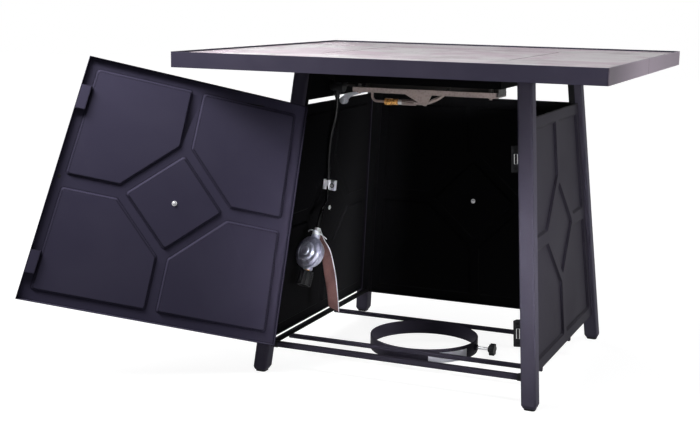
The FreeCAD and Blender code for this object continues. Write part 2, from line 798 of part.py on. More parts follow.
def control_panel():
    """The plate above the left panel that holds the knob and the igniter."""
    origin, across, upward, outward, lean = side_frame("left")

    def right(z):
        return opening_half("left", z)

    def left(z):
        return -right(z)

    outline = trapezoid(left, right, CONTROL_BOTTOM, CONTROL_TOP, lean)
    flat = prism(outline, Vector(0, 0, -CONTROL_SHEET))
    rise = 1.0 / math.cos(lean)
    flange_low = CONTROL_TOP * rise - CONTROL_SHEET
    flange = block((left(CONTROL_TOP), flange_low, -12.0), (right(CONTROL_TOP), CONTROL_TOP * rise, 0))
    flat = joined([flat, flange])
    for y, radius in ((VALVE_Y, 4.6), (IGNITER_Y, 6.05)):
        spot = Vector(-y, VALVE_Z * rise, -4.0)
        flat = flat.cut(Part.makeCylinder(radius, 6.0, spot))
    return placed(flat, origin - outward * PANEL_SETBACK, across, upward, outward)


def left_axis():
    """The way out through the left side."""
    return side_frame("left")[3]


VALVE_DEPTH = PANEL_SETBACK + CONTROL_SHEET
STEM_RADIUS = 3.0
STEM_PLAY = 0.05


def gas_valve():
    """The valve body behind the control plate, with its inlet and outlet."""
    out = left_axis()
    face = control_point(VALVE_Y, VALVE_Z, VALVE_DEPTH)
    body = rod(face, face - out * 6.0, 10.0)
    barrel = rod(face - out * 6.0, face - out * 28.0, 11.5)
    neck = rod(face, face + out * 4.5, 4.5)
    inlet_top = Vector(VALVE_X, VALVE_Y, VALVE_Z - 4.0)
    inlet = rod(inlet_top, Vector(VALVE_X, VALVE_Y, 511.0), 7.0)
    barb = rod(Vector(VALVE_X, VALVE_Y, 511.0), Vector(VALVE_X, VALVE_Y, 505.0), 5.0)
    outlet = rod(Vector(VALVE_X, VALVE_Y, 532.0), Vector(OUTLET_END, VALVE_Y, 532.0), 5.0)
    whole = joined([body, barrel, neck, inlet, barb, outlet])
    return whole.cut(rod(face - out * 14.0, face + out * 8.0, STEM_RADIUS + STEM_PLAY))


def valve_stem():
    """The turning stem, with a flat for the knob."""
    out = left_axis()
    face = control_point(VALVE_Y, VALVE_Z, VALVE_DEPTH)
    shaft = rod(face - out * 13.5, face + out * 22.0, STEM_RADIUS)
    flat = block((-4.0, -4.0, 0), (4.0, -2.0, 14.0))
    flat = placed(flat, face + out * 9.0, ALONG_Y, out.cross(ALONG_Y), out)
    return shaft.cut(flat)


def control_knob():
    """A ribbed round knob with a pointer, bored for the stem."""
    out = left_axis()
    face = control_point(VALVE_Y, VALVE_Z, VALVE_DEPTH)
    start = face + out * 9.0
    skirt = rod(start, start + out * 4.0, 19.0)
    grip = cone_between(start + out * 4.0, start + out * 19.0, 16.0, 14.0)
    knob = joined([skirt, grip])
    for step in range(12):
        turn = FreeCAD.Rotation(out, 30.0 * step + 15.0)
        side = turn.multVec(out.cross(ALONG_Y))
        centre = start + side * 17.6
        knob = knob.cut(rod(centre + out * 4.5, centre + out * 20.0, 2.6))
    side = out.cross(ALONG_Y)
    pointer = block((-1.5, 0.0, 0.0), (1.5, 14.0, 1.2))
    knob = joined([knob, placed(pointer, start + out * 18.8, ALONG_Y, side, out)])
    return knob.cut(rod(start - out * 1.0, start + out * 16.5, STEM_RADIUS + STEM_PLAY))


def igniter_barrel():
    """The igniter's body behind the plate, with a flange in front."""
    out = left_axis()
    face = control_point(IGNITER_Y, VALVE_Z, PANEL_SETBACK)
    barrel = rod(face, face - out * 34.0, 6.0)
    flange = rod(face, face + out * 3.0, 9.0)
    tail = Vector(*LEAD_END)
    back = rod(tail - ALONG_X * 12.0, tail, 2.6)
    shell = joined([barrel, flange, back])
    return shell.cut(rod(face - out * 20.0, face + out * 4.0, 4.55))


def igniter_button():
    """The push button, sliding in the igniter's body."""
    out = left_axis()
    face = control_point(IGNITER_Y, VALVE_Z, PANEL_SETBACK)
    stem = rod(face - out * 12.0, face + out * 9.0, 4.5)
    cap = rod(face + out * 9.0, face + out * 12.0, 7.0)
    return joined([stem, cap])


def lead_tube():
    """The igniter's lead, held from the igniter to the electrode."""
    tube, radii, length = routed_tube(LEAD_ROUTE, 1.4)
    return tube


def top_rail(side):
    """An angle rail between two legs, under the top."""
    low = RAIL_BOTTOM
    flange_low = UNDER_TOP - RAIL_SHEET
    sign = -1 if side in ("front", "left") else 1
    lengthways = side in ("front", "back")
    outer = (leg_y(UNDER_TOP) if lengthways else leg_x(UNDER_TOP)) - 2.0
    near, far = sorted((sign * outer, sign * (outer - RAIL_SHEET)))
    inner, wide = sorted((sign * (outer - RAIL_SHEET), sign * (outer + RAIL_FLANGE)))
    if lengthways:
        reach = leg_x(low) - LEG_SIDE - 2.8
        web = block((-reach, near, low), (reach, far, UNDER_TOP))
        flange = block((-reach, inner, flange_low), (reach, wide, UNDER_TOP))
    else:
        reach = leg_y(low) - LEG_SIDE - 3.2
        web = block((near, -reach, low), (far, reach, UNDER_TOP))
        flange = block((inner, -reach, flange_low), (wide, reach, UNDER_TOP))
    return joined([web, flange])


def stretcher_bar(wall=0.0, start=None, end=None):
    """The bar between the front legs, or the outside of a wall round it from one X to another."""
    reach = leg_x(FRONT_RAIL_HEIGHT) - LEG_SIDE - 1.1
    face = -(leg_y(FRONT_RAIL_HEIGHT) - FRONT_RAIL_SETBACK)
    half = FRONT_RAIL_TALL / 2 + wall
    near = -reach if start is None else start
    far = reach if end is None else end
    return block((near, face - wall, FRONT_RAIL_HEIGHT - half),
                 (far, face + FRONT_RAIL_DEEP + wall, FRONT_RAIL_HEIGHT + half))


def front_stretcher():
    """The rail between the two front legs, below the door."""
    return stretcher_bar()


def stretcher_brackets():
    """Two folded brackets that hold the front stretcher to the legs."""
    reach = leg_x(FRONT_RAIL_HEIGHT) - LEG_SIDE - 1.1
    pieces = []
    for sign in (-1, 1):
        near, far = sorted((sign * (reach - BRACKET_CUP), sign * (reach + 0.4)))
        pieces.append(stretcher_bar(BRACKET_WALL, near, far).cut(stretcher_bar()))
    return group(pieces)


def side_rail_outer():
    """How far the outer face of a side rail is from the middle."""
    return leg_x(SIDE_RAIL_HEIGHT) - SIDE_RAIL_SETBACK


def side_rail(sign):
    """A lower rail between a front and a rear leg."""
    outer = side_rail_outer()
    inner = outer - SIDE_RAIL_THICK
    half = RAIL_TALL / 2
    reach = leg_y(SIDE_RAIL_HEIGHT) - LEG_SIDE - 0.55
    near, far = sorted((sign * inner, sign * outer))
    return block((near, -reach, SIDE_RAIL_HEIGHT - half), (far, reach, SIDE_RAIL_HEIGHT + half))


def tank_rail(sign):
    """A lower rail beside the cylinder ring, below the side rails."""
    inner = RING_Y + sign * RING_RADIUS
    outer = inner + sign * RAIL_THICK
    half = RAIL_TALL / 2
    reach = side_rail_outer()
    near, far = sorted((inner, outer))
    return block((-reach, near, RAIL_HEIGHT - half), (reach, far, RAIL_HEIGHT + half))


def tank_ring():
    """The band that a gas cylinder's foot stands in, with a boss for its screw."""
    band = ring_prism(RING_RADIUS, RING_RADIUS - RING_SHEET, RING_BOTTOM, RING_TOP, RING_X, RING_Y)
    start = Vector(RING_X + RING_RADIUS - 1.6, RING_Y, SCREW_HEIGHT)
    boss = rod(start, start + Vector(6.0, 0, 0), 6.0)
    inside = Part.makeCylinder(RING_RADIUS - RING_SHEET, 40.0, Vector(RING_X, RING_Y, RING_BOTTOM - 5.0))
    whole = joined([band, boss.cut(inside)])
    hole = rod(start - Vector(6.0, 0, 0), start + Vector(8.0, 0, 0), SCREW_RADIUS + SCREW_PLAY)
    return whole.cut(hole)


def clamp_screw():
    """The plain shank of the thumb screw, with a collar for its knob."""
    start = screw_tip()
    return rod(start, start + ALONG_X * SCREW_LENGTH, SCREW_RADIUS)


def screw_tip():
    """The inner end of the thumb screw, just inside the ring's band."""
    return Vector(RING_X + RING_RADIUS - RING_SHEET + 0.6, RING_Y, SCREW_HEIGHT)


def clamp_knob():
    """A lobed hand knob on the end of the thumb screw."""
    start = screw_tip() + ALONG_X * (SCREW_LENGTH - 6.0)
    out = ALONG_X
    head = rod(start + out * 3.0, start + out * CLAMP_KNOB_LENGTH, CLAMP_KNOB_RADIUS - 2.0)
    neck = rod(start, start + out * 3.0, 6.0)
    knob = joined([head, neck])
    for step in range(6):
        angle = math.radians(60 * step)
        side = Vector(0, math.cos(angle), math.sin(angle))
        centre = start + side * (CLAMP_KNOB_RADIUS - 3.5)
        knob = joined([knob, rod(centre + out * 3.0, centre + out * CLAMP_KNOB_LENGTH, 3.5)])
    return knob.cut(rod(start - out * 1.0, start + out * 6.2, SCREW_RADIUS + SCREW_PLAY))


def catch_place(z):
    """Front middle of a magnetic catch on the inner face of the front right leg."""
    reach = leg_x(z) - LEG_SIDE
    behind = DOOR_SETBACK + DOOR_LIP + STRIKE_SHEET + STRIKE_GAP
    return Vector(reach, -leg_y(z) + behind / math.cos(LEAN_Y), z)


def leaning_block(centre, low, high):
    """A block drawn about a centre, leaning with the front right leg."""
    upward = unit(-math.tan(LEAN_X), math.tan(LEAN_Y), 1.0)
    across = unit(1.0, 0, math.tan(LEAN_X))
    inward = upward.cross(across)
    return placed(block(low, high), centre, across, inward, upward)


def catch_body(z):
    """The plastic body of a catch, with a slot for its two steel strips."""
    half = CATCH_HEIGHT / 2
    place = catch_place(z)
    body = leaning_block(place, (-CATCH_REACH, 0, -half), (-0.1, CATCH_DEPTH, half))
    slot = POLE_HALF_HEIGHT + 0.4
    body = body.cut(leaning_block(place, (POLE_FAR - 0.2, -1.0, -slot),
                                  (POLE_NEAR + 0.2, POLE_DEPTH + 0.2, slot)))
    middle = (POLE_FAR + POLE_NEAR) / 2
    for way in (-1, 1):
        spot = way * CATCH_SCREW_REACH
        body = body.cut(leaning_block(place, (middle - 2.0, -1.0, spot - 2.0),
                                      (middle + 2.0, 2.0, spot + 2.0)))
    return body


def catch_strips():
    """The steel pole strips and the magnet of each catch."""
    pieces = []
    half = POLE_HALF_HEIGHT
    spans = (
        (POLE_FAR, POLE_FAR + POLE_SHEET, 0.0),
        (POLE_FAR + POLE_SHEET, POLE_NEAR - POLE_SHEET, MAGNET_BACK),
        (POLE_NEAR - POLE_SHEET, POLE_NEAR, 0.0),
    )
    for z in CATCH_HEIGHTS:
        blocks = []
        for left, right, front in spans:
            blocks.append(leaning_block(catch_place(z), (left, front, -half), (right, POLE_DEPTH, half)))
        pieces.append(joined(blocks))
    return group(pieces)


def hinge_axis():
    """The foot of the hinge axis on the floor, and its direction."""
    foot_point = Vector(-(leg_x(0) - LEG_SIDE) + HINGE_INSET, -leg_y(0) - HINGE_FORWARD, 0)
    way = unit(LEG_FLOOR_X - LEG_APRON_X, LEG_FLOOR_Y - LEG_APRON_Y, APRON_BOTTOM)
    return foot_point, way


def swung(shape):
    """Turns a shape drawn with the door shut to the open door."""
    foot_point, way = hinge_axis()
    moved = shape.copy()
    moved.rotate(foot_point, way, -DOOR_OPEN_DEG)
    return moved


def door_edges():
    """The door's left and right edges as functions of height."""
    def left(z):
        return -(leg_x(z) - LEG_SIDE - DOOR_HINGE_GAP)

    def right(z):
        return leg_x(z) - LEG_SIDE - DOOR_FREE_GAP

    return left, right


def door_panel():
    """The pressed door, open."""
    origin, across, upward, outward, lean = side_frame("front")
    left, right = door_edges()
    flat = pressed_panel(left, right, PANEL_BOTTOM + 1.0, PANEL_TOP + 2.0, lean, DOOR_LIP)
    return swung(placed(flat, origin - outward * DOOR_SETBACK, across, upward, outward))


def door_middle_screw():
    """The domed screw in the middle of the door."""
    origin, across, upward, outward, lean = side_frame("front")
    left, right = door_edges()
    across_middle = (left(PATTERN_MIDDLE) + right(PATTERN_MIDDLE)) / 2
    level = DOOR_SETBACK + PRESS_DEPTH + PANEL_SHEET
    centre = origin + across * across_middle + upward * (PATTERN_MIDDLE / math.cos(lean))
    return swung(screw_head(centre - outward * level, outward * -1, 4.6, 3.0))


def strike_plate(z):
    """A steel plate on the door that a catch holds."""
    origin, across, upward, outward, lean = side_frame("front")
    left, right = door_edges()
    half = STRIKE_HEIGHT / 2

    def inner(height):
        return right(height) - STRIKE_WIDTH - 0.6

    def outer(height):
        return right(height) - 0.6

    outline = trapezoid(inner, outer, z - half, z + half, lean)
    flat = prism(outline, Vector(0, 0, -STRIKE_SHEET))
    flat.translate(Vector(0, 0, -DOOR_LIP))
    ear = trapezoid(inner, outer, z - half, z + half, lean)
    web = prism([ear[0], ear[0] + Vector(1.2, 0, 0), ear[3] + Vector(1.2, 0, 0), ear[3]],
                Vector(0, 0, -DOOR_LIP + PANEL_SHEET))
    web.translate(Vector(0, 0, -PANEL_SHEET))
    return swung(placed(joined([flat, web]), origin - outward * DOOR_SETBACK, across, upward, outward))


def hinge_part(z, low, high, inner_radius):
    """One length of knuckle on the hinge axis about height z."""
    foot_point, way = hinge_axis()
    middle = foot_point + way * (z / way.z)
    return pipe_between(middle + way * low, middle + way * high, KNUCKLE_RADIUS, inner_radius)


def hinge_local(z):
    """Origin and directions of the closed hinge at height z."""
    foot_point, way = hinge_axis()
    middle = foot_point + way * (z / way.z)
    inward = way.cross(ALONG_X).normalize()
    across = inward.cross(way)
    return middle, across, inward, way


def hinge_leaf(z, door_side):
    """A surface leaf that joins a knuckle to the leg or to the door."""
    middle, across, inward, way = hinge_local(z)
    if door_side:
        face = HINGE_FORWARD * math.cos(LEAN_Y) + DOOR_SETBACK
        plate = block((0.0, face - LEAF_SHEET, -KNUCKLE_LENGTH / 6 + KNUCKLE_PLAY),
                      (LEAF_WIDTH, face, KNUCKLE_LENGTH / 6 - KNUCKLE_PLAY))
        neck = block((1.0, 1.0, -KNUCKLE_LENGTH / 6 + KNUCKLE_PLAY),
                     (2.8, face - LEAF_SHEET / 2, KNUCKLE_LENGTH / 6 - KNUCKLE_PLAY))
        knuckle = hinge_part(z, -KNUCKLE_LENGTH / 6 + KNUCKLE_PLAY,
                             KNUCKLE_LENGTH / 6 - KNUCKLE_PLAY, PIN_RADIUS + PIN_PLAY)
        plates = [placed(joined([plate, neck]), middle, across, inward, way)]
        knuckles = [knuckle]
    else:
        face = HINGE_FORWARD * math.cos(LEAN_Y)
        plates = []
        knuckles = []
        for low, high in ((-KNUCKLE_LENGTH / 2, -KNUCKLE_LENGTH / 6),
                          (KNUCKLE_LENGTH / 6, KNUCKLE_LENGTH / 2)):
            arm = block((-HINGE_INSET - 2.0, face - LEAF_SHEET, low), (-1.0, face, high))
            plates.append(placed(arm, middle, across, inward, way))
            knuckles.append(hinge_part(z, low, high, PIN_RADIUS))
        plate = block((-HINGE_INSET - LEAF_WIDTH, face - LEAF_SHEET, -KNUCKLE_LENGTH / 2),
                      (-HINGE_INSET, face, KNUCKLE_LENGTH / 2))
        plates.append(placed(plate, middle, across, inward, way))
    clear = rod(middle - way * 30.0, middle + way * 30.0, KNUCKLE_RADIUS - 0.6)
    return joined([piece.cut(clear) for piece in plates] + knuckles)


def hinge_frame_leaves():
    """The leaves on the leg."""
    return group([hinge_leaf(z, False) for z in HINGE_HEIGHTS])


def hinge_door_leaves():
    """The leaves on the door, open with it."""
    return group([swung(hinge_leaf(z, True)) for z in HINGE_HEIGHTS])


def hinge_pins():
    """The pins that both leaves turn on."""
    pins = []
    for z in HINGE_HEIGHTS:
        middle, across, inward, way = hinge_local(z)
        half = KNUCKLE_LENGTH / 2
        shank = rod(middle - way * half, middle + way * half, PIN_RADIUS)
        head = rod(middle + way * half, middle + way * (half + 1.2), KNUCKLE_RADIUS - 0.4)
        pins.append(joined([shank, head]))
    return group(pins)


def panel_screws():
    """The domed screws in the middles of the fixed panels, and the hose clip's screw."""
    heads = [clip_screw()]
    for side in ("left", "right", "back"):
        centre, inward = panel_middle(side)
        heads.append(screw_head(centre, inward, 4.6, 3.0))
    return group(heads)


def gas_hose():
    """The hose from the valve, through its clip, to the regulator."""
    tube, radii, length = routed_tube(HOSE_ROUTE, HOSE_RADIUS)
    section = math.pi * HOSE_RADIUS ** 2 * length
    print("hose radii", [round(radius, 1) for radius in radii])
    print("hose length", round(length, 1), "volume share", round(tube.Volume / section, 4))
    return tube


def clip_block(low, high):
    """A block on the inner face of the left panel: along Y, up the panel, and inwards."""
    origin, across, upward, outward, lean = side_frame("left")
    start = Vector(*HOSE_ROUTE[CLIP_RUN])
    end = Vector(*HOSE_ROUTE[CLIP_RUN + 1])
    middle = (start + end) * 0.5
    level = PANEL_SETBACK + PRESS_DEPTH + PANEL_SHEET
    centre = origin - outward * level + upward * (middle.z / math.cos(lean)) + ALONG_Y * middle.y
    return placed(block(low, high), centre, across * -1, upward, outward * -1)


def hose_clip():
    """A clip on the left panel that holds the hose in its bore."""
    tall = CLIP_TALL / 2
    deep = CLIP_DEEP / 2
    body = clip_block((-deep, -tall, 0.0), (deep, tall, CLIP_REACH))
    edges = [e for e in body.Edges if abs(e.tangentAt(0).y) < 0.1 and e.Length > CLIP_TALL * 0.9]
    body = body.makeFillet(CLIP_ROUND, edges)
    slit = clip_block((-deep - 1.0, -tall - 1.0, CLIP_REACH * CLIP_SLIT),
                      (-deep + 4.0, tall + 1.0, CLIP_REACH * CLIP_SLIT + 1.3))
    start = Vector(*HOSE_ROUTE[CLIP_RUN])
    end = Vector(*HOSE_ROUTE[CLIP_RUN + 1])
    reach = (start - end) * 0.5
    bore = rod(end - reach, start + reach, HOSE_RADIUS + CLIP_PLAY)
    return body.cut(slit).cut(bore)


def clip_screw():
    """The screw in the front of the hose clip."""
    reach = CLIP_REACH * CLIP_SCREW_SPOT
    face = clip_block((-CLIP_DEEP / 2, -0.5, reach), (CLIP_DEEP / 2, 0.5, reach + 1.0))
    centre = Vector(face.BoundBox.XMax, face.BoundBox.YMin, face.BoundBox.Center.z)
    return screw_head(centre, ALONG_Y * -1, 2.8, 1.8)


def regulator_axes():
    """The regulator's middle, the way its gas flows to the hose, and its dome's way."""
    top = Vector(*HOSE_ROUTE[-1])
    flow = (Vector(*HOSE_ROUTE[-2]) - top).normalize()
    across = flow.cross(ALONG_X).normalize()
    dome = across * (-1 if across.y > 0 else 1)
    dome = FreeCAD.Rotation(flow, -REGULATOR_TURN_DEG).multVec(dome)
    middle = top - flow * REGULATOR_TO_HOSE + dome * GAS_WAY_BEHIND
    return middle, flow, dome


def regulator_body():
    """The die-cast regulator: a stepped dome, a back and its two bosses."""
    middle, flow, dome = regulator_axes()
    back = rod(middle - dome * REGULATOR_BACK, middle, REGULATOR_RADIUS * 0.86)
    flange = rod(middle, middle + dome * 4.0, REGULATOR_RADIUS)
    step = cone_between(middle + dome * 4.0, middle + dome * 9.0, REGULATOR_RADIUS * 0.86,
                        REGULATOR_RADIUS * 0.72)
    crown = cone_between(middle + dome * 9.0, middle + dome * 13.0, REGULATOR_RADIUS * 0.55,
                         REGULATOR_RADIUS * 0.47)
    cap = rod(middle + dome * 13.0, middle + dome * 15.0, REGULATOR_RADIUS * 0.25)
    axis = middle - dome * GAS_WAY_BEHIND
    upper = rod(axis, axis + flow * UPPER_REACH, UPPER_RADIUS)
    lower = rod(axis, axis - flow * LOWER_REACH, LOWER_RADIUS)
    return joined([back, flange, step, crown, cap, upper, lower])


def regulator_line():
    """The line of the gas way through the regulator."""
    middle, flow, dome = regulator_axes()
    return middle - dome * GAS_WAY_BEHIND, flow


def hose_ferrule():
    """The crimped fitting between the hose and the regulator."""
    axis, flow = regulator_line()
    top = Vector(*HOSE_ROUTE[-1])
    start = axis + flow * UPPER_REACH
    nut = rod(start, start + flow * 6.0, 8.0)
    sleeve = rod(start + flow * 6.0, top, 5.6)
    return joined([nut, sleeve])


def inlet_nipple():
    """The bullet-nosed inlet that the coupling nut turns on."""
    axis, flow = regulator_line()
    start = axis - flow * LOWER_REACH
    shoulder = start - flow * NIPPLE_SHANK
    tip = shoulder - flow * NIPPLE_NOSE
    shank = rod(start, shoulder, NECK_RADIUS)
    nose = cone_between(shoulder, tip, NECK_RADIUS, 3.0)
    collar = rod(start - flow * 13.3, start - flow * 16.3, 7.5)
    whole = joined([shank, nose, collar])
    return whole.cut(rod(start, tip - flow * 1.0, 1.6))


def coupling_nut():
    """The ribbed plastic nut that screws on a gas cylinder by hand."""
    axis, flow = regulator_line()
    start = axis - flow * (LOWER_REACH + 3.0)
    body = rod(start, start - flow * NUT_LENGTH, NUT_RADIUS - 1.2)
    for step in range(12):
        turn = FreeCAD.Rotation(flow, 30.0 * step)
        side = turn.multVec(flow.cross(ALONG_Y).normalize())
        centre = start + side * (NUT_RADIUS - NUT_RIB)
        body = body.fuse(rod(centre - flow * 4.0, centre - flow * NUT_LENGTH, NUT_RIB))
    body = body.removeSplitter()
    neck_hole = rod(start + flow * 1.0, start - flow * 10.5, NECK_RADIUS + NECK_PLAY)
    thread = rod(start - flow * 10.0, start - flow * (NUT_LENGTH + 1.0), NUT_THREAD)
    return body.cut(neck_hole).cut(thread)


TAG_SHEET = 1.0
TAG_BEHIND = 9.0
TAG_LEFT_EDGE = (
    (-207.5, 256.0), (-205.0, 238.0), (-200.0, 212.0),
    (-194.5, 174.0), (-186.5, 132.0), (-183.0, 103.0),
)
TAG_RIGHT_EDGE = (
    (-203.0, 256.0), (-193.5, 235.0), (-180.5, 214.0),
    (-170.0, 174.0), (-164.0, 132.0), (-160.5, 95.0),
)


def hang_tag():
    """A plain card tag that hangs from the hose fitting, wider towards its foot."""
    y = HOSE_ROUTE[-1][1] + TAG_BEHIND
    left = [Vector(x, y, z) for x, z in TAG_LEFT_EDGE]
    right = [Vector(x, y, z) for x, z in TAG_RIGHT_EDGE]
    return prism(left + right[::-1], Vector(0, TAG_SHEET, 0))


def top_bolts():
    """Eight bolts that hold the top rails to the top."""
    bolts = []
    web_y = leg_y(UNDER_TOP) + 6.0
    web_x = leg_x(UNDER_TOP) + 6.0
    spots = [(x, sign * web_y) for x in (-120.0, 120.0) for sign in (-1, 1)]
    spots += [(sign * web_x, y) for y in (-90.0, 90.0) for sign in (-1, 1)]
    for x, y in spots:
        below = Vector(x, y, UNDER_TOP - RAIL_SHEET - TOP_BOLT_HEIGHT)
        bolts.append(Part.makeCylinder(TOP_BOLT_RADIUS, TOP_BOLT_HEIGHT, below))
    return group(bolts)


def supply_tube():
    """The bent metal tube from the valve to the injector."""
    tube, radii, length = routed_tube(SUPPLY_ROUTE, 2.4, 0.42)
    return tube


def tube_clip():
    """A light strap with a bolted eye, below the left end of the bracket."""
    y = GAS_LINE_Y - STRAP_WIDTH / 2
    strap = prism([Vector(x, y, z) for x, z in STRAP_LINE], ALONG_Y * STRAP_WIDTH)
    front = Vector(STRAP_EYE_X, y - 1.0, STRAP_EYE_Z)
    eye = rod(front, front + ALONG_Y * (STRAP_WIDTH + 2.0), STRAP_EYE)
    head = rod(front - ALONG_Y * 2.5, front, STRAP_EYE * 0.6)
    return joined([strap, eye, head])


def nodes():
    """Every node of the part, by name."""
    parts = {
        "tabletop": tabletop(),
        "burner_lid": burner_lid(),
        "burner_pan": burner_pan(),
        "burner_ring": burner_ring(),
        "spark_electrode": spark_electrode(),
        "burner_bracket": burner_bracket(),
        "bracket_bolts": bracket_bolts(),
        "mixer_tube": mixer_tube(),
        "mixer_gusset": mixer_gusset(),
        "injector": injector(),
        "injector_nut": injector_nut(),
        "supply_tube": supply_tube(),
        "control_panel": control_panel(),
        "gas_valve": gas_valve(),
        "valve_stem": valve_stem(),
        "control_knob": control_knob(),
        "igniter_barrel": igniter_barrel(),
        "igniter_button": igniter_button(),
        "igniter_lead": lead_tube(),
        "left_panel": fixed_panel("left"),
        "right_panel": fixed_panel("right"),
        "back_panel": fixed_panel("back"),
        "panel_screws": panel_screws(),
        "top_bolts": top_bolts(),
        "front_stretcher": front_stretcher(),
        "stretcher_brackets": stretcher_brackets(),
        "left_side_rail": side_rail(-1),
        "right_side_rail": side_rail(1),
        "front_tank_rail": tank_rail(-1),
        "rear_tank_rail": tank_rail(1),
        "tank_ring": tank_ring(),
        "clamp_screw": clamp_screw(),
        "clamp_knob": clamp_knob(),
        "upper_catch": catch_body(CATCH_HEIGHTS[1]),
        "lower_catch": catch_body(CATCH_HEIGHTS[0]),
        "catch_magnets": catch_strips(),
        "hinge_frame_leaves": hinge_frame_leaves(),
        "hinge_pins": hinge_pins(),
        "hinge_door_leaves": hinge_door_leaves(),
        "door_panel": door_panel(),
        "door_screw": door_middle_screw(),
        "upper_strike": strike_plate(CATCH_HEIGHTS[1]),
        "lower_strike": strike_plate(CATCH_HEIGHTS[0]),
        "hose_clip": hose_clip(),
        "tube_clip": tube_clip(),
        "gas_hose": gas_hose(),
        "hose_ferrule": hose_ferrule(),
        "regulator_body": regulator_body(),
        "inlet_nipple": inlet_nipple(),
        "coupling_nut": coupling_nut(),
        "hang_tag": hang_tag(),
    }
    for side in ("front", "back", "left", "right"):
        parts[side + "_top_rail"] = top_rail(side)
    for front, sy in (("front", -1), ("rear", 1)):
        for hand, sx in (("left", -1), ("right", 1)):
            parts[front + "_" + hand + "_leg"] = leg(sx, sy)
    feet = [foot(sx, sy) for sx in (-1, 1) for sy in (-1, 1)]
    parts["foot_glides"] = group(feet)
    return parts


os.makedirs("parts", exist_ok=True)
for name, shape in nodes().items():
    shape.exportStep(os.path.join("parts", name + ".step"))
    print(name, "solids", len(shape.Solids), "volume", round(shape.Volume), "valid", shape.isValid())
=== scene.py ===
"""Looks of a gas fire pit table with its door open, built round the fixed frame.

Every length is in metres, unless its name ends in mm. In the row's frame X runs to the right of
the door side, Y runs to the back, Z runs up, and the origin is the middle of the table on the floor.
"""

import json
import logging
import math
from dataclasses import dataclass, field
from enum import Enum

import bpy
from mathutils import Matrix, Quaternion, Vector

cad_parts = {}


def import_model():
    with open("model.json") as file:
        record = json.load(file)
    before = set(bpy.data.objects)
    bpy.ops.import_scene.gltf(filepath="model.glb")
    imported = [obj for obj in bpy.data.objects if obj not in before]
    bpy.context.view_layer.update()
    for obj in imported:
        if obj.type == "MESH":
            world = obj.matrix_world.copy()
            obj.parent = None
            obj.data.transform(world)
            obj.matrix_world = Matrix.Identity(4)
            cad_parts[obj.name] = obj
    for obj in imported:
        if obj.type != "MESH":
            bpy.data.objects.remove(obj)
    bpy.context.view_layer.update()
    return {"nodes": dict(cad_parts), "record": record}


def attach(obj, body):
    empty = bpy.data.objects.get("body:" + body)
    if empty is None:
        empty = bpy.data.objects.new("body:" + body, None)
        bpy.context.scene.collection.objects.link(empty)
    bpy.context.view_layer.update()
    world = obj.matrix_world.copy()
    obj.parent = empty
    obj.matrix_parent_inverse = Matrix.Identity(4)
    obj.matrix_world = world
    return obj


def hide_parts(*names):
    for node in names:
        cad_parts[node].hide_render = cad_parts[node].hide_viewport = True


LOG = logging.getLogger("fire_pit_table")
MM = 0.001
WELD_GAP = 0.00001
BEVEL_ANGLE = math.radians(28.0)
SHARP_ANGLE = math.radians(35.0)

# How far the walls of the stand lean in for each metre up, at its sides and at its front and back.
LEAN_X = 0.0879
LEAN_Y = 0.1218

Colour = tuple[float, float, float]
Point = tuple[float, float, float]
Span = tuple[float, float]
Outline = tuple[tuple[float, float], ...]
Shape = tuple[list[Vector], list[tuple[int, ...]]]
Edges = tuple[tuple[str, float], ...]


class Axis(Enum):
    """The directions of the row's frame."""

    ACROSS = (1.0, 0.0, 0.0)
    BACK = (0.0, 1.0, 0.0)
    UP = (0.0, 0.0, 1.0)


@dataclass(frozen=True)
class Cloud:
    """A cloudy noise: its clouds to a metre, its finer layers, its twist and its stretch by axis."""

    scale: float
    detail: float = 3.0
    warp: float = 0.0
    stretch: Point = (1.0, 1.0, 1.0)


@dataclass(frozen=True)
class Relief:
    """A fine relief: how much of it shows, and what a height of 1 stands for."""

    strength: float
    depth: float


class Signal:
    """A node's output socket that takes part in arithmetic.

    Args:
        net: The node tree that the socket belongs to.
        socket: The output socket.
    """

    def __init__(self, net: "ShaderNet", socket: bpy.types.NodeSocket) -> None:
        """Keeps the tree and the socket together."""
        self.net = net
        self.socket = socket

    def __add__(self, other: "Signal | float") -> "Signal":
        """Adds a value."""
        return self.net.maths("ADD", self, other)

    def __radd__(self, other: float) -> "Signal":
        """Adds this to a plain number."""
        return self.net.maths("ADD", other, self)

    def __sub__(self, other: "Signal | float") -> "Signal":
        """Takes a value away."""
        return self.net.maths("SUBTRACT", self, other)

    def __rsub__(self, other: float) -> "Signal":
        """Takes this away from a plain number."""
        return self.net.maths("SUBTRACT", other, self)

    def __mul__(self, other: "Signal | float") -> "Signal":
        """Multiplies by a value."""
        return self.net.maths("MULTIPLY", self, other)

    def __rmul__(self, other: float) -> "Signal":
        """Multiplies a plain number by this."""
        return self.net.maths("MULTIPLY", other, self)

    def __abs__(self) -> "Signal":
        """The size without its sign."""
        return self.net.maths("ABSOLUTE", self, 0.0)

    def larger(self, other: "Signal | float") -> "Signal":
        """The larger of this and another value."""
        return self.net.maths("MAXIMUM", self, other)

    def swing(self, reach: float) -> "Signal":
        """A value from 0 to 1 as a swing to both sides of nought."""
        return (self - 0.5) * reach

    def between(self, low: float, high: float) -> "Signal":
        """A value from 0 to 1 as one from a low to a high value."""
        return low + self * (high - low)

    def past(self, level: float, blur: float) -> "Signal":
        """One past a level and nought before it, with a blurred edge."""
        return (self - level).step(-blur, blur)

    def step(self, low: float, high: float) -> "Signal":
        """A soft step.

        Args:
            low: The value that gives 0.
            high: The value that gives 1.

        Returns:
            A value from 0 to 1.
        """
        settings = {"interpolation_type": "SMOOTHSTEP"}
        places = {0: self, 1: low, 2: high, 3: 0.0, 4: 1.0}
        return self.net.node("ShaderNodeMapRange", settings, places)


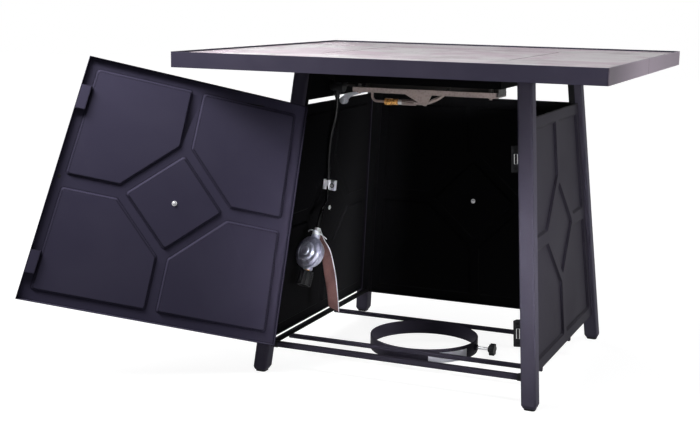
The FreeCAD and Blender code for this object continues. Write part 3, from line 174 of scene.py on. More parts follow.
class ShaderNet:
    """The node tree of a material or of the world.

    Args:
        owner: The material or the world.
        ending: The type of its output node.
    """

    def __init__(self, owner: bpy.types.ID, ending: str = "ShaderNodeOutputMaterial") -> None:
        """Makes an empty tree with its output."""
        owner.use_nodes = True
        self.owner = owner
        self.tree = owner.node_tree
        self.tree.nodes.clear()
        self.output = self.tree.nodes.new(ending)

    def node(self, kind: str, settings: dict, places: dict, out: int | str = 0) -> Signal:
        """Adds one node.

        Args:
            kind: The node's type.
            settings: The node's properties, which are set first.
            places: The values or signals of its input sockets, by name or number.
            out: The name or number of the output that is wanted.

        Returns:
            The chosen output.
        """
        made = self.tree.nodes.new(kind)
        for name, value in settings.items():
            setattr(made, name, value)
        for place, value in places.items():
            self.feed(made.inputs[place], value)
        return Signal(self, made.outputs[out])

    def feed(self, socket: bpy.types.NodeSocket, value: object) -> None:
        """Links a signal to a socket, or sets the socket's own value.

        Args:
            socket: The input socket.
            value: A signal, a number, a colour or a vector.
        """
        if isinstance(value, Signal):
            self.tree.links.new(value.socket, socket)
            return
        if isinstance(value, tuple) and socket.type == "RGBA" and len(value) == 3:
            value = (*value, 1.0)
        socket.default_value = value

    def maths(self, operation: str, first: "Signal | float", second: "Signal | float") -> Signal:
        """Adds a Math node on two values."""
        return self.node("ShaderNodeMath", {"operation": operation}, {0: first, 1: second})

    def vector(self, operation: str, first: Signal, second: "Signal | Point",
               out: int | str = 0) -> Signal:
        """Adds a Vector Math node on two vectors."""
        return self.node("ShaderNodeVectorMath", {"operation": operation}, {0: first, 1: second}, out)

    def place(self) -> Signal:
        """The surface point in the row's frame."""
        return self.node("ShaderNodeTexCoord", {}, {}, "Object")

    def facing(self) -> Signal:
        """The way that the surface faces, in the row's frame."""
        return self.node("ShaderNodeTexCoord", {}, {}, "Normal")

    def along(self, axis: Axis, vector: Signal | None = None) -> Signal:
        """How far the surface point, or the vector that is given, reaches along an axis."""
        return self.vector("DOT_PRODUCT", vector or self.place(), axis.value, "Value")

    def noise(self, cloud: Cloud) -> Signal:
        """Cloudy noise from 0 to 1 over the surface.

        Args:
            cloud: The kind of noise.

        Returns:
            The noise.
        """
        place = self.vector("MULTIPLY", self.place(), cloud.stretch)
        size = {"Scale": cloud.scale, "Detail": cloud.detail, "Distortion": cloud.warp}
        return self.node("ShaderNodeTexNoise", {}, {"Vector": place, **size})

    def blend(self, share: Signal, first: object, second: object) -> Signal:
        """Mixes two colours by a share from 0 to 1."""
        return self.node("ShaderNodeMix", {"data_type": "RGBA"}, {0: share, 6: first, 7: second}, 2)

    def bump(self, height: Signal, relief: Relief, base: Signal | None = None) -> Signal:
        """A bumped normal.

        Args:
            height: The height over the surface, from 0 to 1.
            relief: How strong and how deep the bump is.
            base: The normal that is bumped, where it isn't the surface's own.

        Returns:
            The normal.
        """
        places = {"Strength": relief.strength, "Distance": relief.depth, "Height": height}
        if base is not None:
            places["Normal"] = base
        return self.node("ShaderNodeBump", {}, places)

    def rounded(self, radius: float) -> Signal:
        """The normal that the surface would have with its edges and folds rounded."""
        return self.node("ShaderNodeBevel", {"samples": 6}, {"Radius": radius})

    def crease(self, soft: Signal, span: Span) -> Signal:
        """One beside edges and folds, where the rounded normal leaves the true one.

        Args:
            soft: The rounded normal.
            span: The differences that give 0 and 1.

        Returns:
            A value from 0 to 1.
        """
        true = self.node("ShaderNodeNewGeometry", {}, {}, "True Normal")
        same = self.vector("DOT_PRODUCT", soft, true, "Value")
        return (1.0 - same).step(*span)

    def principled(self, **sockets: object) -> Signal:
        """Adds a Principled shader.

        Args:
            sockets: Its sockets, with an underscore for each space in a name.

        Returns:
            The shader.
        """
        places = {name.replace("_", " "): value for name, value in sockets.items()}
        return self.node("ShaderNodeBsdfPrincipled", {}, places)

    def mixed(self, share: Signal, first: Signal, second: Signal) -> Signal:
        """Mixes two shaders by a share from 0 to 1."""
        return self.node("ShaderNodeMixShader", {}, {0: share, 1: first, 2: second})

    def finished(self, shader: Signal) -> bpy.types.ID:
        """Ends the tree in a shader, and gives the material or the world."""
        self.feed(self.output.inputs["Surface"], shader)
        return self.owner

    def surface(self, **sockets: object) -> bpy.types.ID:
        """Ends the tree in one Principled shader, and gives the material."""
        return self.finished(self.principled(**sockets))


def material_net(name: str) -> ShaderNet:
    """The empty node tree of a new material."""
    return ShaderNet(bpy.data.materials.new(name))


@dataclass(frozen=True)
class PowderCoat:
    """Satin powder coat on steel with its fine orange peel.

    The coat's own colour is on the legs. The door has a lighter, bluer tone as painted sheen,
    the panels and the rails between the legs a darker tone as painted shade, and what faces the
    inside of the stand a near-black, duller coat as painted shade.
    """

    name: str = "powder_coat"
    colour: Colour = (0.060, 0.055, 0.081)
    light: Colour = (0.078, 0.072, 0.101)
    fleck: Colour = (0.120, 0.114, 0.140)
    fleck_share: float = 0.14
    # Painted shade: a darker copy of the coat on the panels and the rails between the legs.
    panel_shade: Colour = (0.0205, 0.0180, 0.0270)
    panel_shade_span: Span = (0.8, 1.0)
    rail_share: float = 0.75
    # Painted sheen: a lighter, bluer copy of the coat on the open door.
    door_sheen: Colour = (0.0615, 0.0550, 0.1080)
    door_sheen_share: float = 0.5
    # Painted shade in the creases beside the pressed folds of the door and the panels.
    crease_shade: Colour = (0.010, 0.009, 0.012)
    crease_shade_share: float = 0.65
    crease_shade_span: Span = (0.004, 0.035)
    # Painted shade: a near-black coat on what faces the inside of the stand, lighter towards the back.
    inside: Colour = (0.0020, 0.0020, 0.0024)
    inside_light: Colour = (0.0034, 0.0034, 0.0040)
    inside_back: Colour = (0.0150, 0.0150, 0.0165)
    back_span: Span = (-0.10, 0.20)
    mottle: Cloud = Cloud(7.0, 4.0, 0.4)
    mottle_span: Span = (0.3, 0.7)
    peel: Cloud = Cloud(1500.0, 2.0)
    flecks: Cloud = Cloud(420.0, 2.0)
    fleck_span: Span = (0.66, 0.74)
    relief: Relief = Relief(0.16, 0.0003)
    roughness: float = 0.54
    mottle_rough: float = 0.16
    peel_rough: float = 0.05
    inside_rough: float = 0.2
    gloss: float = 0.03
    sheen: Colour = (0.96, 0.84, 1.0)
    inside_gloss: float = 0.02
    fold: float = 0.0032
    half_x: float = 0.2600
    half_y: float = 0.2540
    sheet: float = 0.0070
    leg_x: float = -0.0130
    leg_y: float = -0.0160
    door_y: float = 0.0125
    panel_foot: float = 0.0560
    core_foot: Span = (0.0580, 0.0590)
    lining_foot: Span = (0.0470, 0.0478)
    blur: float = 0.0005
    wall_blur: float = 0.002
    inward_least: float = 0.5
    inward_blur: float = 0.01

    def material(self) -> bpy.types.Material:
        """Builds the material.

        Returns:
            The material.
        """
        net = material_net(self.name)
        mottle = net.noise(self.mottle)
        peel = net.noise(self.peel)
        rough = self.roughness + mottle.swing(self.mottle_rough) + peel.swing(self.peel_rough)
        soft = net.rounded(self.fold)
        normal = net.bump(peel, self.relief, soft)
        coat = self.coat(net, mottle, soft)
        outer = net.principled(Base_Color=coat, Roughness=rough, Specular_IOR_Level=self.gloss,
                               Specular_Tint=self.sheen, Normal=normal)
        # Painted shade: near-black, duller paint on what faces the inside of the stand.
        dull = net.blend(mottle.step(*self.mottle_span), self.inside, self.inside_light)
        dull = net.blend(net.along(Axis.BACK).step(*self.back_span), dull, self.inside_back)
        inner = net.principled(Base_Color=dull, Roughness=rough + self.inside_rough,
                               Specular_IOR_Level=self.inside_gloss, Normal=normal)
        # The inside's painted shade takes the place of the coat where the mask is one.
        return net.finished(net.mixed(self.shaded_inside(net), outer, inner))

    def coat(self, net: ShaderNet, mottle: Signal, soft: Signal) -> Signal:
        """The coat's colour with flecks, painted sheen on the door, and painted shade between the legs
        and in creases.

        Args:
            net: The tree that it is added to.
            mottle: The cloudy noise of the coat.
            soft: The rounded normal.

        Returns:
            The colour.
        """
        flecks = net.noise(self.flecks).step(*self.fleck_span)
        # Painted shade beside the folds of the pressed sheets.
        crease_shades = net.crease(soft, self.crease_shade_span) * self.pressed(net)
        colour = net.blend(mottle.step(*self.mottle_span), self.colour, self.light)
        # Painted shade on the panels and the rails between the legs.
        panel_shade = self.between_legs(net) * mottle.between(*self.panel_shade_span)
        colour = net.blend(panel_shade, colour, self.panel_shade)
        # Painted sheen on the door.
        colour = net.blend(self.on_door(net) * self.door_sheen_share, colour, self.door_sheen)
        colour = net.blend(flecks * self.fleck_share, colour, self.fleck)
        return net.blend(crease_shades * self.crease_shade_share, colour, self.crease_shade)

    def outward(self, net: ShaderNet) -> tuple[Signal, Signal]:
        """How far a point lies out of the planes of the four leaning walls.

        Args:
            net: The tree that it is added to.

        Returns:
            The distances across and from front to back.
        """
        height = net.along(Axis.UP)
        out_x = abs(net.along(Axis.ACROSS)) + height * LEAN_X - self.half_x
        out_y = abs(net.along(Axis.BACK)) + height * LEAN_Y - self.half_y
        return out_x, out_y

    def on_leg(self, net: ShaderNet) -> Signal:
        """One on the four legs, which stand in the corners of the walls."""
        out_x, out_y = self.outward(net)
        return out_x.past(self.leg_x, self.blur) * out_y.past(self.leg_y, self.blur)

    def on_door(self, net: ShaderNet) -> Signal:
        """One on the open door, which stands clear of the stand's front."""
        return self.outward(net)[1].past(self.door_y, self.blur)

    def above_rails(self, net: ShaderNet) -> Signal:
        """One from the lower edge of the panels up."""
        return net.along(Axis.UP).past(self.panel_foot, self.blur)

    def between_legs(self, net: ShaderNet) -> Signal:
        """How much painted shade darkens the coat: most on the panels, less on the rails, none on the
        legs or door.
        """
        clear = 1.0 - self.on_leg(net).larger(self.on_door(net))
        return clear * self.above_rails(net).between(self.rail_share, 1.0)

    def pressed(self, net: ShaderNet) -> Signal:
        """One on the pressed sheets, which are the door and the panels."""
        sheets = (1.0 - self.on_leg(net)).larger(self.on_door(net))
        return sheets * self.above_rails(net)

    def inward(self, net: ShaderNet, axis: Axis) -> Signal:
        """One on faces that look back at the middle along an axis, within 60 degrees.

        Args:
            net: The tree that it is added to.
            axis: The axis.

        Returns:
            A value from 0 to 1.
        """
        where = net.along(axis)
        looking = where * net.along(axis, net.facing()) * -1.0
        return (looking - abs(where) * self.inward_least).step(0.0, self.inward_blur)

    def shaded_inside(self, net: ShaderNet) -> Signal:
        """Where the inside's painted shade goes: one on what faces the inside of the stand, nought
        outside it.

        Args:
            net: The tree that it is added to.

        Returns:
            A value from 0 to 1.
        """
        height = net.along(Axis.UP)
        out_x, out_y = self.outward(net)
        near_x = out_x.step(self.wall_blur, 0.0)
        near_y = out_y.step(self.wall_blur, 0.0)
        wall_x = (out_x - self.sheet).step(self.wall_blur, 0.0) * self.inward(net, Axis.ACROSS)
        wall_y = (out_y - self.sheet).step(self.wall_blur, 0.0) * self.inward(net, Axis.BACK)
        core = near_x * near_y * height.step(*self.core_foot)
        lining = (near_y * wall_x).larger(near_x * wall_y) * height.step(*self.lining_foot)
        return core.larger(lining)


@dataclass(frozen=True)
class StonePrint:
    """A pale stone print on the top, with paint on its rim, its apron and its underside."""

    name: str = "stone_print"
    half_x: float = 0.3885
    half_y: float = 0.3630
    rim: float = 0.0031
    face: float = 0.5970
    lip: float = 0.0006
    lid: float = 0.1785
    lid_gap: float = 0.0014
    seam: float = -0.0085
    seam_half: float = 0.0007
    seam_blur: float = 0.0003
    flank_skin: float = 0.0012
    rim_blur: float = 0.0001
    paint_blur: float = 0.0002
    gap_blur: Span = (0.0004, -0.0002)
    pale: Colour = (0.57, 0.545, 0.560)
    mauve: Colour = (0.495, 0.405, 0.460)
    smoke: Colour = (0.32, 0.295, 0.310)
    dust: Colour = (0.68, 0.65, 0.67)
    # Painted shade in the gap round the lid.
    gap_shade: Colour = (0.030, 0.027, 0.029)
    paint: Colour = (0.040, 0.0365, 0.058)
    paint_light: Colour = (0.050, 0.045, 0.069)
    # Painted reflection: paler paint on the two flanks, palest towards the back.
    side: Colour = (0.165, 0.137, 0.168)
    flank_sheen_far: Colour = (0.500, 0.410, 0.500)
    seam_dark: Colour = (0.008, 0.007, 0.009)
    clouds: Cloud = Cloud(6.5, 5.0, 1.2)
    cloud_span: Span = (0.38, 0.62)
    patches: Cloud = Cloud(13.0, 6.0, 0.8, (1.0, 0.55, 1.0))
    patch_span: Span = (0.48, 0.72)
    patch_share: float = 0.50
    veins: Cloud = Cloud(8.0, 6.0, 2.0)
    vein_half: float = 0.03
    vein_share: float = 0.30
    grains: Cloud = Cloud(420.0)
    grain_span: Span = (0.45, 0.72)
    dust_share: float = 0.22
    gap_shade_share: float = 0.95
    seam_share: float = 0.85
    grain_weight: float = 0.6
    mottle: Cloud = Cloud(9.0, 4.0, 0.5)
    mottle_span: Span = (0.3, 0.7)
    flank_sheen_span: Span = (0.8, 1.0)
    stone_relief: Relief = Relief(0.10, 0.0004)
    paint_relief: Relief = Relief(0.06, 0.0003)
    stone_rough: float = 0.50
    stone_swing: float = 0.14
    paint_rough: float = 0.44
    paint_swing: float = 0.12
    stone_gloss: float = 0.02
    paint_gloss: float = 0.05
    paint_sheen: Colour = (0.98, 0.88, 1.0)

    def material(self) -> bpy.types.Material:
        """Builds the material.

        Returns:
            The material.
        """
        net = material_net(self.name)
        stone, grain = self.stone(net)
        mottle = net.noise(self.mottle)
        bare = net.principled(Base_Color=stone, Specular_IOR_Level=self.stone_gloss,
                              Roughness=self.stone_rough + mottle.swing(self.stone_swing),
                              Normal=net.bump(grain, self.stone_relief))
        coat = net.principled(Base_Color=self.apron(net, mottle),
                              Specular_IOR_Level=self.paint_gloss, Specular_Tint=self.paint_sheen,
                              Roughness=self.paint_rough + mottle.swing(self.paint_swing),
                              Normal=net.bump(grain, self.paint_relief))
        return net.finished(net.mixed(self.painted(net), bare, coat))

    def painted(self, net: ShaderNet) -> Signal:
        """One on the rim and on all that lies below the printed face.

        Args:
            net: The tree that it is added to.

        Returns:
            A value from 0 to 1.
        """
        out_x = abs(net.along(Axis.ACROSS)) - (self.half_x - self.rim)
        out_y = abs(net.along(Axis.BACK)) - (self.half_y - self.rim)
        below = self.face - self.lip - net.along(Axis.UP)
        outward = out_x.larger(out_y).step(-self.rim_blur, self.rim_blur)
        return outward.larger(below.step(-self.paint_blur, self.paint_blur))

    def apron(self, net: ShaderNet, mottle: Signal) -> Signal:
        """The paint's colour, with painted reflection paling the two flanks towards the back, and a seam
        on each flank.

        Args:
            net: The tree that it is added to.
            mottle: The cloudy noise of the paint.

        Returns:
            The colour.
        """
        front = net.along(Axis.BACK)
        out = abs(net.along(Axis.ACROSS))
        flank = out.past(self.half_x - self.flank_skin, self.paint_blur)
        seam = (abs(front - self.seam) - self.seam_half).step(self.seam_blur, 0.0)
        # Painted reflection on the flanks, paler towards the back.
        pale = net.blend(front.step(-self.half_y, 0.0), self.side, self.flank_sheen_far)
        paint = net.blend(mottle.step(*self.mottle_span), self.paint, self.paint_light)
        paint = net.blend(flank * mottle.between(*self.flank_sheen_span), paint, pale)
        return net.blend(flank * seam * self.seam_share, paint, self.seam_dark)

    def stone(self, net: ShaderNet) -> tuple[Signal, Signal]:
        """The print's colour and its grain, with painted shade along the gap round the lid.

        Args:
            net: The tree that it is added to.

        Returns:
            The colour and the height of the grain.
        """
        cloud = net.noise(self.clouds)
        patch = net.noise(self.patches)
        vein = abs(net.noise(self.veins) - 0.5).step(self.vein_half, 0.0)
        grain = net.noise(self.grains)
        out = abs(net.along(Axis.ACROSS)).larger(abs(net.along(Axis.BACK)))
        gap = (abs(out - self.lid) - self.lid_gap).step(*self.gap_blur)
        colour = net.blend(cloud.step(*self.cloud_span), self.pale, self.mauve)
        colour = net.blend(patch.step(*self.patch_span) * self.patch_share, colour, self.smoke)
        colour = net.blend(vein * self.vein_share, colour, self.smoke)
        colour = net.blend(grain.step(*self.grain_span) * self.dust_share, colour, self.dust)
        # Painted shade in the gap round the lid.
        colour = net.blend(gap * self.gap_shade_share, colour, self.gap_shade)
        return colour, grain * self.grain_weight + patch * (1.0 - self.grain_weight)


@dataclass(frozen=True)
class RawMetal:
    """Bare metal with drawn or machined lines, and stains."""

    name: str
    colour: Colour
    dull: Colour
    roughness: float
    metallic: float = 1.0
    stains: Cloud = Cloud(60.0, 3.0, 0.5)
    stain_span: Span = (0.40, 0.62)
    stain_rough: float = 0.12
    lines: Cloud = Cloud(90.0, stretch=(1.0, 30.0, 30.0))
    line_rough: float = 0.2
    relief: Relief = Relief(0.12, 0.0002)

    def material(self) -> bpy.types.Material:
        """Builds the material.

        Returns:
            The material.
        """
        net = material_net(self.name)
        drawn = net.noise(self.lines)
        stain = net.noise(self.stains)
        colour = net.blend(stain.step(*self.stain_span), self.colour, self.dull)
        rough = self.roughness + drawn.swing(self.line_rough) + stain.swing(self.stain_rough)
        return net.surface(Base_Color=colour, Metallic=self.metallic, Roughness=rough,
                           Normal=net.bump(drawn, self.relief))


@dataclass(frozen=True)
class Galvanised:
    """Galvanised sheet with its flat crystals, tinged by oil, and near-black painted shade where it is
    out of the light.
    """

    name: str = "galvanised"
    colour: Colour = (0.42, 0.34, 0.32)
    dull: Colour = (0.27, 0.215, 0.205)
    # Painted shade above the bracket's floor and behind its front lip.
    painted_shade: Colour = (0.010, 0.009, 0.009)
    painted_shade_share: float = 0.96
    lip: float = -0.1478
    floor: float = 0.5288
    blur: float = 0.0004
    crystals: float = 210.0
    crystal_span: Span = (0.1, 0.7)
    crystal_share: float = 0.6
    mottle: Cloud = Cloud(26.0, 4.0, 0.6)
    metallic: float = 0.25
    roughness: float = 0.46
    flake_rough: float = 0.24
    relief: Relief = Relief(0.1, 0.0002)

    def material(self) -> bpy.types.Material:
        """Builds the material.

        Returns:
            The material.
        """
        net = material_net(self.name)
        cells = {"Vector": net.place(), "Scale": self.crystals}
        crystal = net.node("ShaderNodeTexVoronoi", {}, cells, "Distance")
        flake = crystal.step(*self.crystal_span) * self.crystal_share
        flake = flake + net.noise(self.mottle) * (1.0 - self.crystal_share)
        above = (net.along(Axis.UP) - self.floor).step(0.0, self.blur)
        behind = (net.along(Axis.BACK) - self.lip).step(0.0, self.blur)
        colour = net.blend(flake, self.dull, self.colour)
        # Painted shade where the sheet is out of the light.
        colour = net.blend(above * behind * self.painted_shade_share, colour, self.painted_shade)
        rough = self.roughness + flake.swing(self.flake_rough)
        return net.surface(Base_Color=colour, Metallic=self.metallic, Roughness=rough,
                           Normal=net.bump(flake, self.relief))


@dataclass(frozen=True)
class Moulded:
    """Moulded plastic or rubber with a fine skin."""

    name: str
    colour: Colour
    light: Colour
    roughness: float
    gloss: float = 0.5
    skin: Cloud = Cloud(900.0, 2.0)
    skin_rough: float = 0.08
    mottle: Cloud = Cloud(30.0, 3.0, 0.3)
    mottle_span: Span = (0.3, 0.75)
    mottle_rough: float = 0.12
    relief: Relief = Relief(0.18, 0.0003)

    def material(self) -> bpy.types.Material:
        """Builds the material.

        Returns:
            The material.
        """
        net = material_net(self.name)
        skin = net.noise(self.skin)
        mottle = net.noise(self.mottle)
        colour = net.blend(mottle.step(*self.mottle_span), self.colour, self.light)
        rough = self.roughness + mottle.swing(self.mottle_rough) + skin.swing(self.skin_rough)
        return net.surface(Base_Color=colour, Roughness=rough, Specular_IOR_Level=self.gloss,
                           Normal=net.bump(skin, self.relief))


@dataclass(frozen=True)
class Card:
    """Card with paper fibres, bare of any print."""

    name: str
    colour: Colour
    dark: Colour
    fibre: Colour = (0.4, 0.34, 0.34)
    roughness: float = 0.6
    fibres: Cloud = Cloud(900.0, 4.0, stretch=(1.0, 1.0, 0.35))
    fibre_span: Span = (0.5, 0.8)
    fibre_share: float = 0.2
    fibre_rough: float = 0.15
    mottle: Cloud = Cloud(22.0, 3.0, 0.6)
    mottle_span: Span = (0.34, 0.66)
    relief: Relief = Relief(0.15, 0.0002)

    def material(self) -> bpy.types.Material:
        """Builds the material.

        Returns:
            The material.
        """
        net = material_net(self.name)
        fibre = net.noise(self.fibres)
        mottle = net.noise(self.mottle)
        colour = net.blend(mottle.step(*self.mottle_span), self.colour, self.dark)
        colour = net.blend(fibre.step(*self.fibre_span) * self.fibre_share, colour, self.fibre)
        rough = self.roughness + fibre.swing(self.fibre_rough)
        return net.surface(Base_Color=colour, Roughness=rough, Normal=net.bump(fibre, self.relief))


@dataclass(frozen=True)
class PaleFloor:
    """The studio floor: white to the camera, greyer in the light that it gives back.

    It keeps the object's shadow near the object, and fades into the white backdrop further out.
    """

    name: str = "pale_floor"
    seen: Colour = (0.30, 0.30, 0.30)
    worn: Colour = (0.27, 0.27, 0.27)
    drift: Cloud = Cloud(1.2, 2.0)
    drift_share: float = 0.15
    bounced: Colour = (0.16, 0.16, 0.165)
    near_glow: Colour = (0.90, 0.90, 0.90)
    far_glow: Colour = (1.0, 1.0, 1.0)
    fade: Span = (0.45, 1.5)

    def material(self) -> bpy.types.Material:
        """Builds the material.

        Returns:
            The material.
        """
        net = material_net(self.name)
        tone = net.blend(net.noise(self.drift) * self.drift_share, self.seen, self.worn)
        away = net.vector("LENGTH", net.place(), (0.0, 0.0, 0.0), "Value")
        shine = net.blend(away.step(*self.fade), self.near_glow, self.far_glow)
        shown = net.node("ShaderNodeBsdfDiffuse", {}, {"Color": tone})
        glow = net.node("ShaderNodeEmission", {}, {"Color": shine, "Strength": 1.0})
        both = net.node("ShaderNodeAddShader", {}, {0: shown, 1: glow})
        bounce = net.node("ShaderNodeBsdfDiffuse", {}, {"Color": self.bounced})
        return net.finished(net.mixed(background_share(net), bounce, both))


def background_share(net: ShaderNet) -> Signal:
    """One for the camera, glossy and transmission rays, which see the white background.

    Args:
        net: The tree that it is added to.

    Returns:
        A value of 0 or 1.
    """
    kinds = ("Is Camera Ray", "Is Glossy Ray", "Is Transmission Ray")
    camera, glossy, passed = (net.node("ShaderNodeLightPath", {}, {}, kind) for kind in kinds)
    return camera.larger(glossy).larger(passed)


FINISHES = {
    "printed_top": StonePrint(),
    "frame_paint": PowderCoat(),
    "galvanised": Galvanised(),
    "black_plastic": Moulded("black_plastic", (0.010, 0.010, 0.012), (0.016, 0.016, 0.018), 0.50, 0.12),
    "dark_casting": Moulded("dark_casting", (0.02, 0.02, 0.022), (0.035, 0.035, 0.04), 0.5, 0.2),
    "hose_rubber": Moulded("hose_rubber", (0.006, 0.006, 0.007), (0.010, 0.010, 0.011), 0.24, 0.22),
    "white_plastic": Moulded("white_plastic", (0.79, 0.79, 0.88), (0.69, 0.69, 0.78), 0.36),
    "tag_card": Card("tag_card", (0.20, 0.098, 0.094), (0.125, 0.058, 0.056)),
    "stainless": RawMetal("stainless", (0.60, 0.59, 0.58), (0.48, 0.47, 0.46), 0.34),
    "bright_steel": RawMetal("bright_steel", (0.84, 0.84, 0.86), (0.62, 0.62, 0.65), 0.30, 0.5),
    "zinc_casting": RawMetal("zinc_casting", (0.58, 0.59, 0.74), (0.36, 0.36, 0.50), 0.32, 0.6,
                             Cloud(90.0, 3.0, 0.5)),
    "brass": RawMetal("brass", (0.86, 0.47, 0.13), (0.30, 0.13, 0.03), 0.32, 0.6,
                      Cloud(260.0, 3.0, 0.5)),
}


@dataclass
class Wardrobe:
    """Every finish as a material, made once."""

    made: dict[str, bpy.types.Material] = field(default_factory=dict)

    def get(self, slot: str) -> bpy.types.Material:
        """The material of one of the record's slots.

        Args:
            slot: The slot's name.

        Returns:
            Its material, which is built when it is first asked for.
        """
        if slot not in self.made:
            self.made[slot] = FINISHES[slot].material()
        return self.made[slot]


@dataclass
class Workshop:
    """What every sub-assembly builds with: the fixed frame and the finishes."""

    nodes: dict
    slots: dict[str, str]
    wardrobe: Wardrobe

    def dress(self, node: str, radius: float = 0.0) -> bpy.types.Object:
        """Gives a frame node its finish, and softens its edges.

        Args:
            node: The node's name.
            radius: The radius of its edges, or nought to leave them.

        Returns:
            The node's object.
        """
        piece = self.nodes[node]
        material = self.wardrobe.get(self.slots[node])
        if not piece.material_slots:
            piece.data.materials.append(material)
        for place in piece.material_slots:
            place.material = material
        if radius:
            soften_edges(piece, radius)
        LOG.info("dressed %s", node)
        return piece

    def enter(self, made: bpy.types.Object, slot: str, body: str) -> bpy.types.Object:
        """Puts a new piece in the scene, with its finish and its body.

        Args:
            made: The new object.
            slot: The record's slot that gives its finish.
            body: The body that it moves with.

        Returns:
            The same object.
        """
        bpy.context.scene.collection.objects.link(made)
        made.data.materials.append(self.wardrobe.get(slot))
        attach(made, body)
        LOG.info("built %s", made.name)
        return made

    def piece(self, name: str, shape: Shape, slot: str, body: str) -> bpy.types.Object:
        """Adds a new mesh piece.

        Args:
            name: The piece's name.
            shape: Its points and faces.
            slot: The record's slot that gives its finish.
            body: The body that it moves with.

        Returns:
            The new object.
        """
        vertices, faces = shape
        mesh = bpy.data.meshes.new(name)
        mesh.from_pydata([tuple(vertex) for vertex in vertices], [], faces)
        mesh.validate()
        mesh.shade_smooth()
        mesh.set_sharp_from_angle(angle=SHARP_ANGLE)
        return self.enter(bpy.data.objects.new(name, mesh), slot, body)

    def wire(self, name: str, points: tuple[Point, ...], radius: float, slot: str,
             body: str) -> bpy.types.Object:
        """Adds a round wire along a smooth line.

        Args:
            name: The piece's name.
            points: The control points of its line.
            radius: Its radius.
            slot: The record's slot that gives its finish.
            body: The body that it moves with.

        Returns:
            The new curve.
        """
        curve = bpy.data.curves.new(name, "CURVE")
        curve.dimensions = "3D"
        curve.bevel_depth = radius
        curve.bevel_resolution = 5
        curve.resolution_u = 16
        curve.use_fill_caps = True
        spline = curve.splines.new("NURBS")
        spline.points.add(len(points) - 1)
        for spot, point in zip(spline.points, points):
            spot.co = (*point, 1.0)
        spline.order_u = 3
        spline.use_endpoint_u = True
        return self.enter(bpy.data.objects.new(name, curve), slot, body)


def soften_edges(piece: bpy.types.Object, radius: float) -> None:
    """Welds a mesh's seams and rounds its sharp edges.

    Args:
        piece: The object.
        radius: The width of each rounded edge.
    """
    weld = piece.modifiers.new("seams", "WELD")
    weld.merge_threshold = WELD_GAP
    bevel = piece.modifiers.new("edges", "BEVEL")
    bevel.width = radius
    bevel.segments = 2
    bevel.limit_method = "ANGLE"
    bevel.angle_limit = BEVEL_ANGLE
    bevel.use_clamp_overlap = True
    bevel.harden_normals = False


def swept(rings: list[list[Vector]], capped: bool = True) -> Shape:
    """A skin over closed rings, each with the same number of points.

    Args:
        rings: The rings in order, which run anticlockwise as seen from the last one.
        capped: Whether the first and the last ring are closed by a face.

    Returns:
        Its points and faces.
    """
    count = len(rings[0])
    faces = []
    for row in range(len(rings) - 1):
        for side in range(count):
            after = (side + 1) % count
            low = row * count
            high = low + count
            faces.append((low + side, low + after, high + after, high + side))
    if capped:
        last = (len(rings) - 1) * count
        faces.append(tuple(reversed(range(count))))
        faces.append(tuple(range(last, last + count)))
    return [point for ring in rings for point in ring], faces


def turned(profile_mm: Outline, steps: int) -> Shape:
    """A round shape from its half outline, about local Z.

    Args:
        profile_mm: Radius and height of each point in millimetres, from the lower end to the upper.
        steps: How many sides it has.

    Returns:
        Its points and faces.
    """
    angles = [2.0 * math.pi * step / steps for step in range(steps)]
    rings = []
    for radius, height in profile_mm:
        reach = radius * MM
        rings.append([Vector((reach * math.cos(a), reach * math.sin(a), height * MM)) for a in angles])
    return swept(rings)


def aimed(shape: Shape, origin: Vector, direction: Vector) -> Shape:
    """Turns a shape from local Z to a direction, and moves it.

    Args:
        shape: Points about local Z, and faces.
        origin: Where the local origin goes.
        direction: Where local Z points.

    Returns:
        The moved points, and the same faces.
    """
    turn = direction.to_track_quat("Z", "Y")
    return [origin + turn @ vertex for vertex in shape[0]], shape[1]


def merged(shapes: list[Shape]) -> Shape:
    """Several shapes as one.

    Args:
        shapes: The points and faces of each.

    Returns:
        The points and faces of all of them.
    """
    vertices = []
    faces = []
    for points, sides in shapes:
        start = len(vertices)
        vertices.extend(points)
        faces.extend([tuple(number + start for number in side) for side in sides])
    return vertices, faces


def smooth_between(values: tuple[float, float, float, float], share: float) -> float:
    """A smooth value between the middle two of four neighbours.

    Args:
        values: The four neighbours in order.
        share: How far from the second to the third.

    Returns:
        The value there.
    """
    before, start, end, after = values
    square = share * share
    cube = square * share
    first = 2.0 * start + (end - before) * share
    second = (2.0 * before - 5.0 * start + 4.0 * end - after) * square
    third = (3.0 * start - before - 3.0 * end + after) * cube
    return 0.5 * (first + second + third)


@dataclass
class SubAssembly:
    """A sub-assembly that dresses its own nodes of the frame.

    The table gives each node the radius of its edges in millimetres, or nought to leave them.
    """

    shop: Workshop
    edges_mm: Edges = ()

    def build(self) -> None:
        """Dresses every node in the table."""
        for node, radius in self.edges_mm:
            self.shop.dress(node, radius * MM)


@dataclass
class TableTop(SubAssembly):
    """The printed top, its lid and the rails that carry them."""

    edges_mm: Edges = (
        ("tabletop", 1.2), ("burner_lid", 1.2), ("front_top_rail", 0.5), ("back_top_rail", 0.5),
        ("left_top_rail", 0.5), ("right_top_rail", 0.5), ("top_bolts", 0.5),
    )


@dataclass
class Stand(SubAssembly):
    """Legs, feet and lower rails."""

    edges_mm: Edges = (
        ("front_left_leg", 0.0), ("front_right_leg", 0.0), ("rear_left_leg", 0.0),
        ("rear_right_leg", 0.0), ("front_stretcher", 0.8), ("left_side_rail", 0.8),
        ("right_side_rail", 0.8), ("front_tank_rail", 0.8), ("rear_tank_rail", 0.8),
        ("stretcher_brackets", 0.5), ("foot_glides", 0.8),
    )


@dataclass
class Panels(SubAssembly):
    """The three fixed pressed panels and their screws."""

    edges_mm: Edges = (
        ("left_panel", 0.9), ("right_panel", 0.9), ("back_panel", 0.9), ("panel_screws", 0.4),
    )


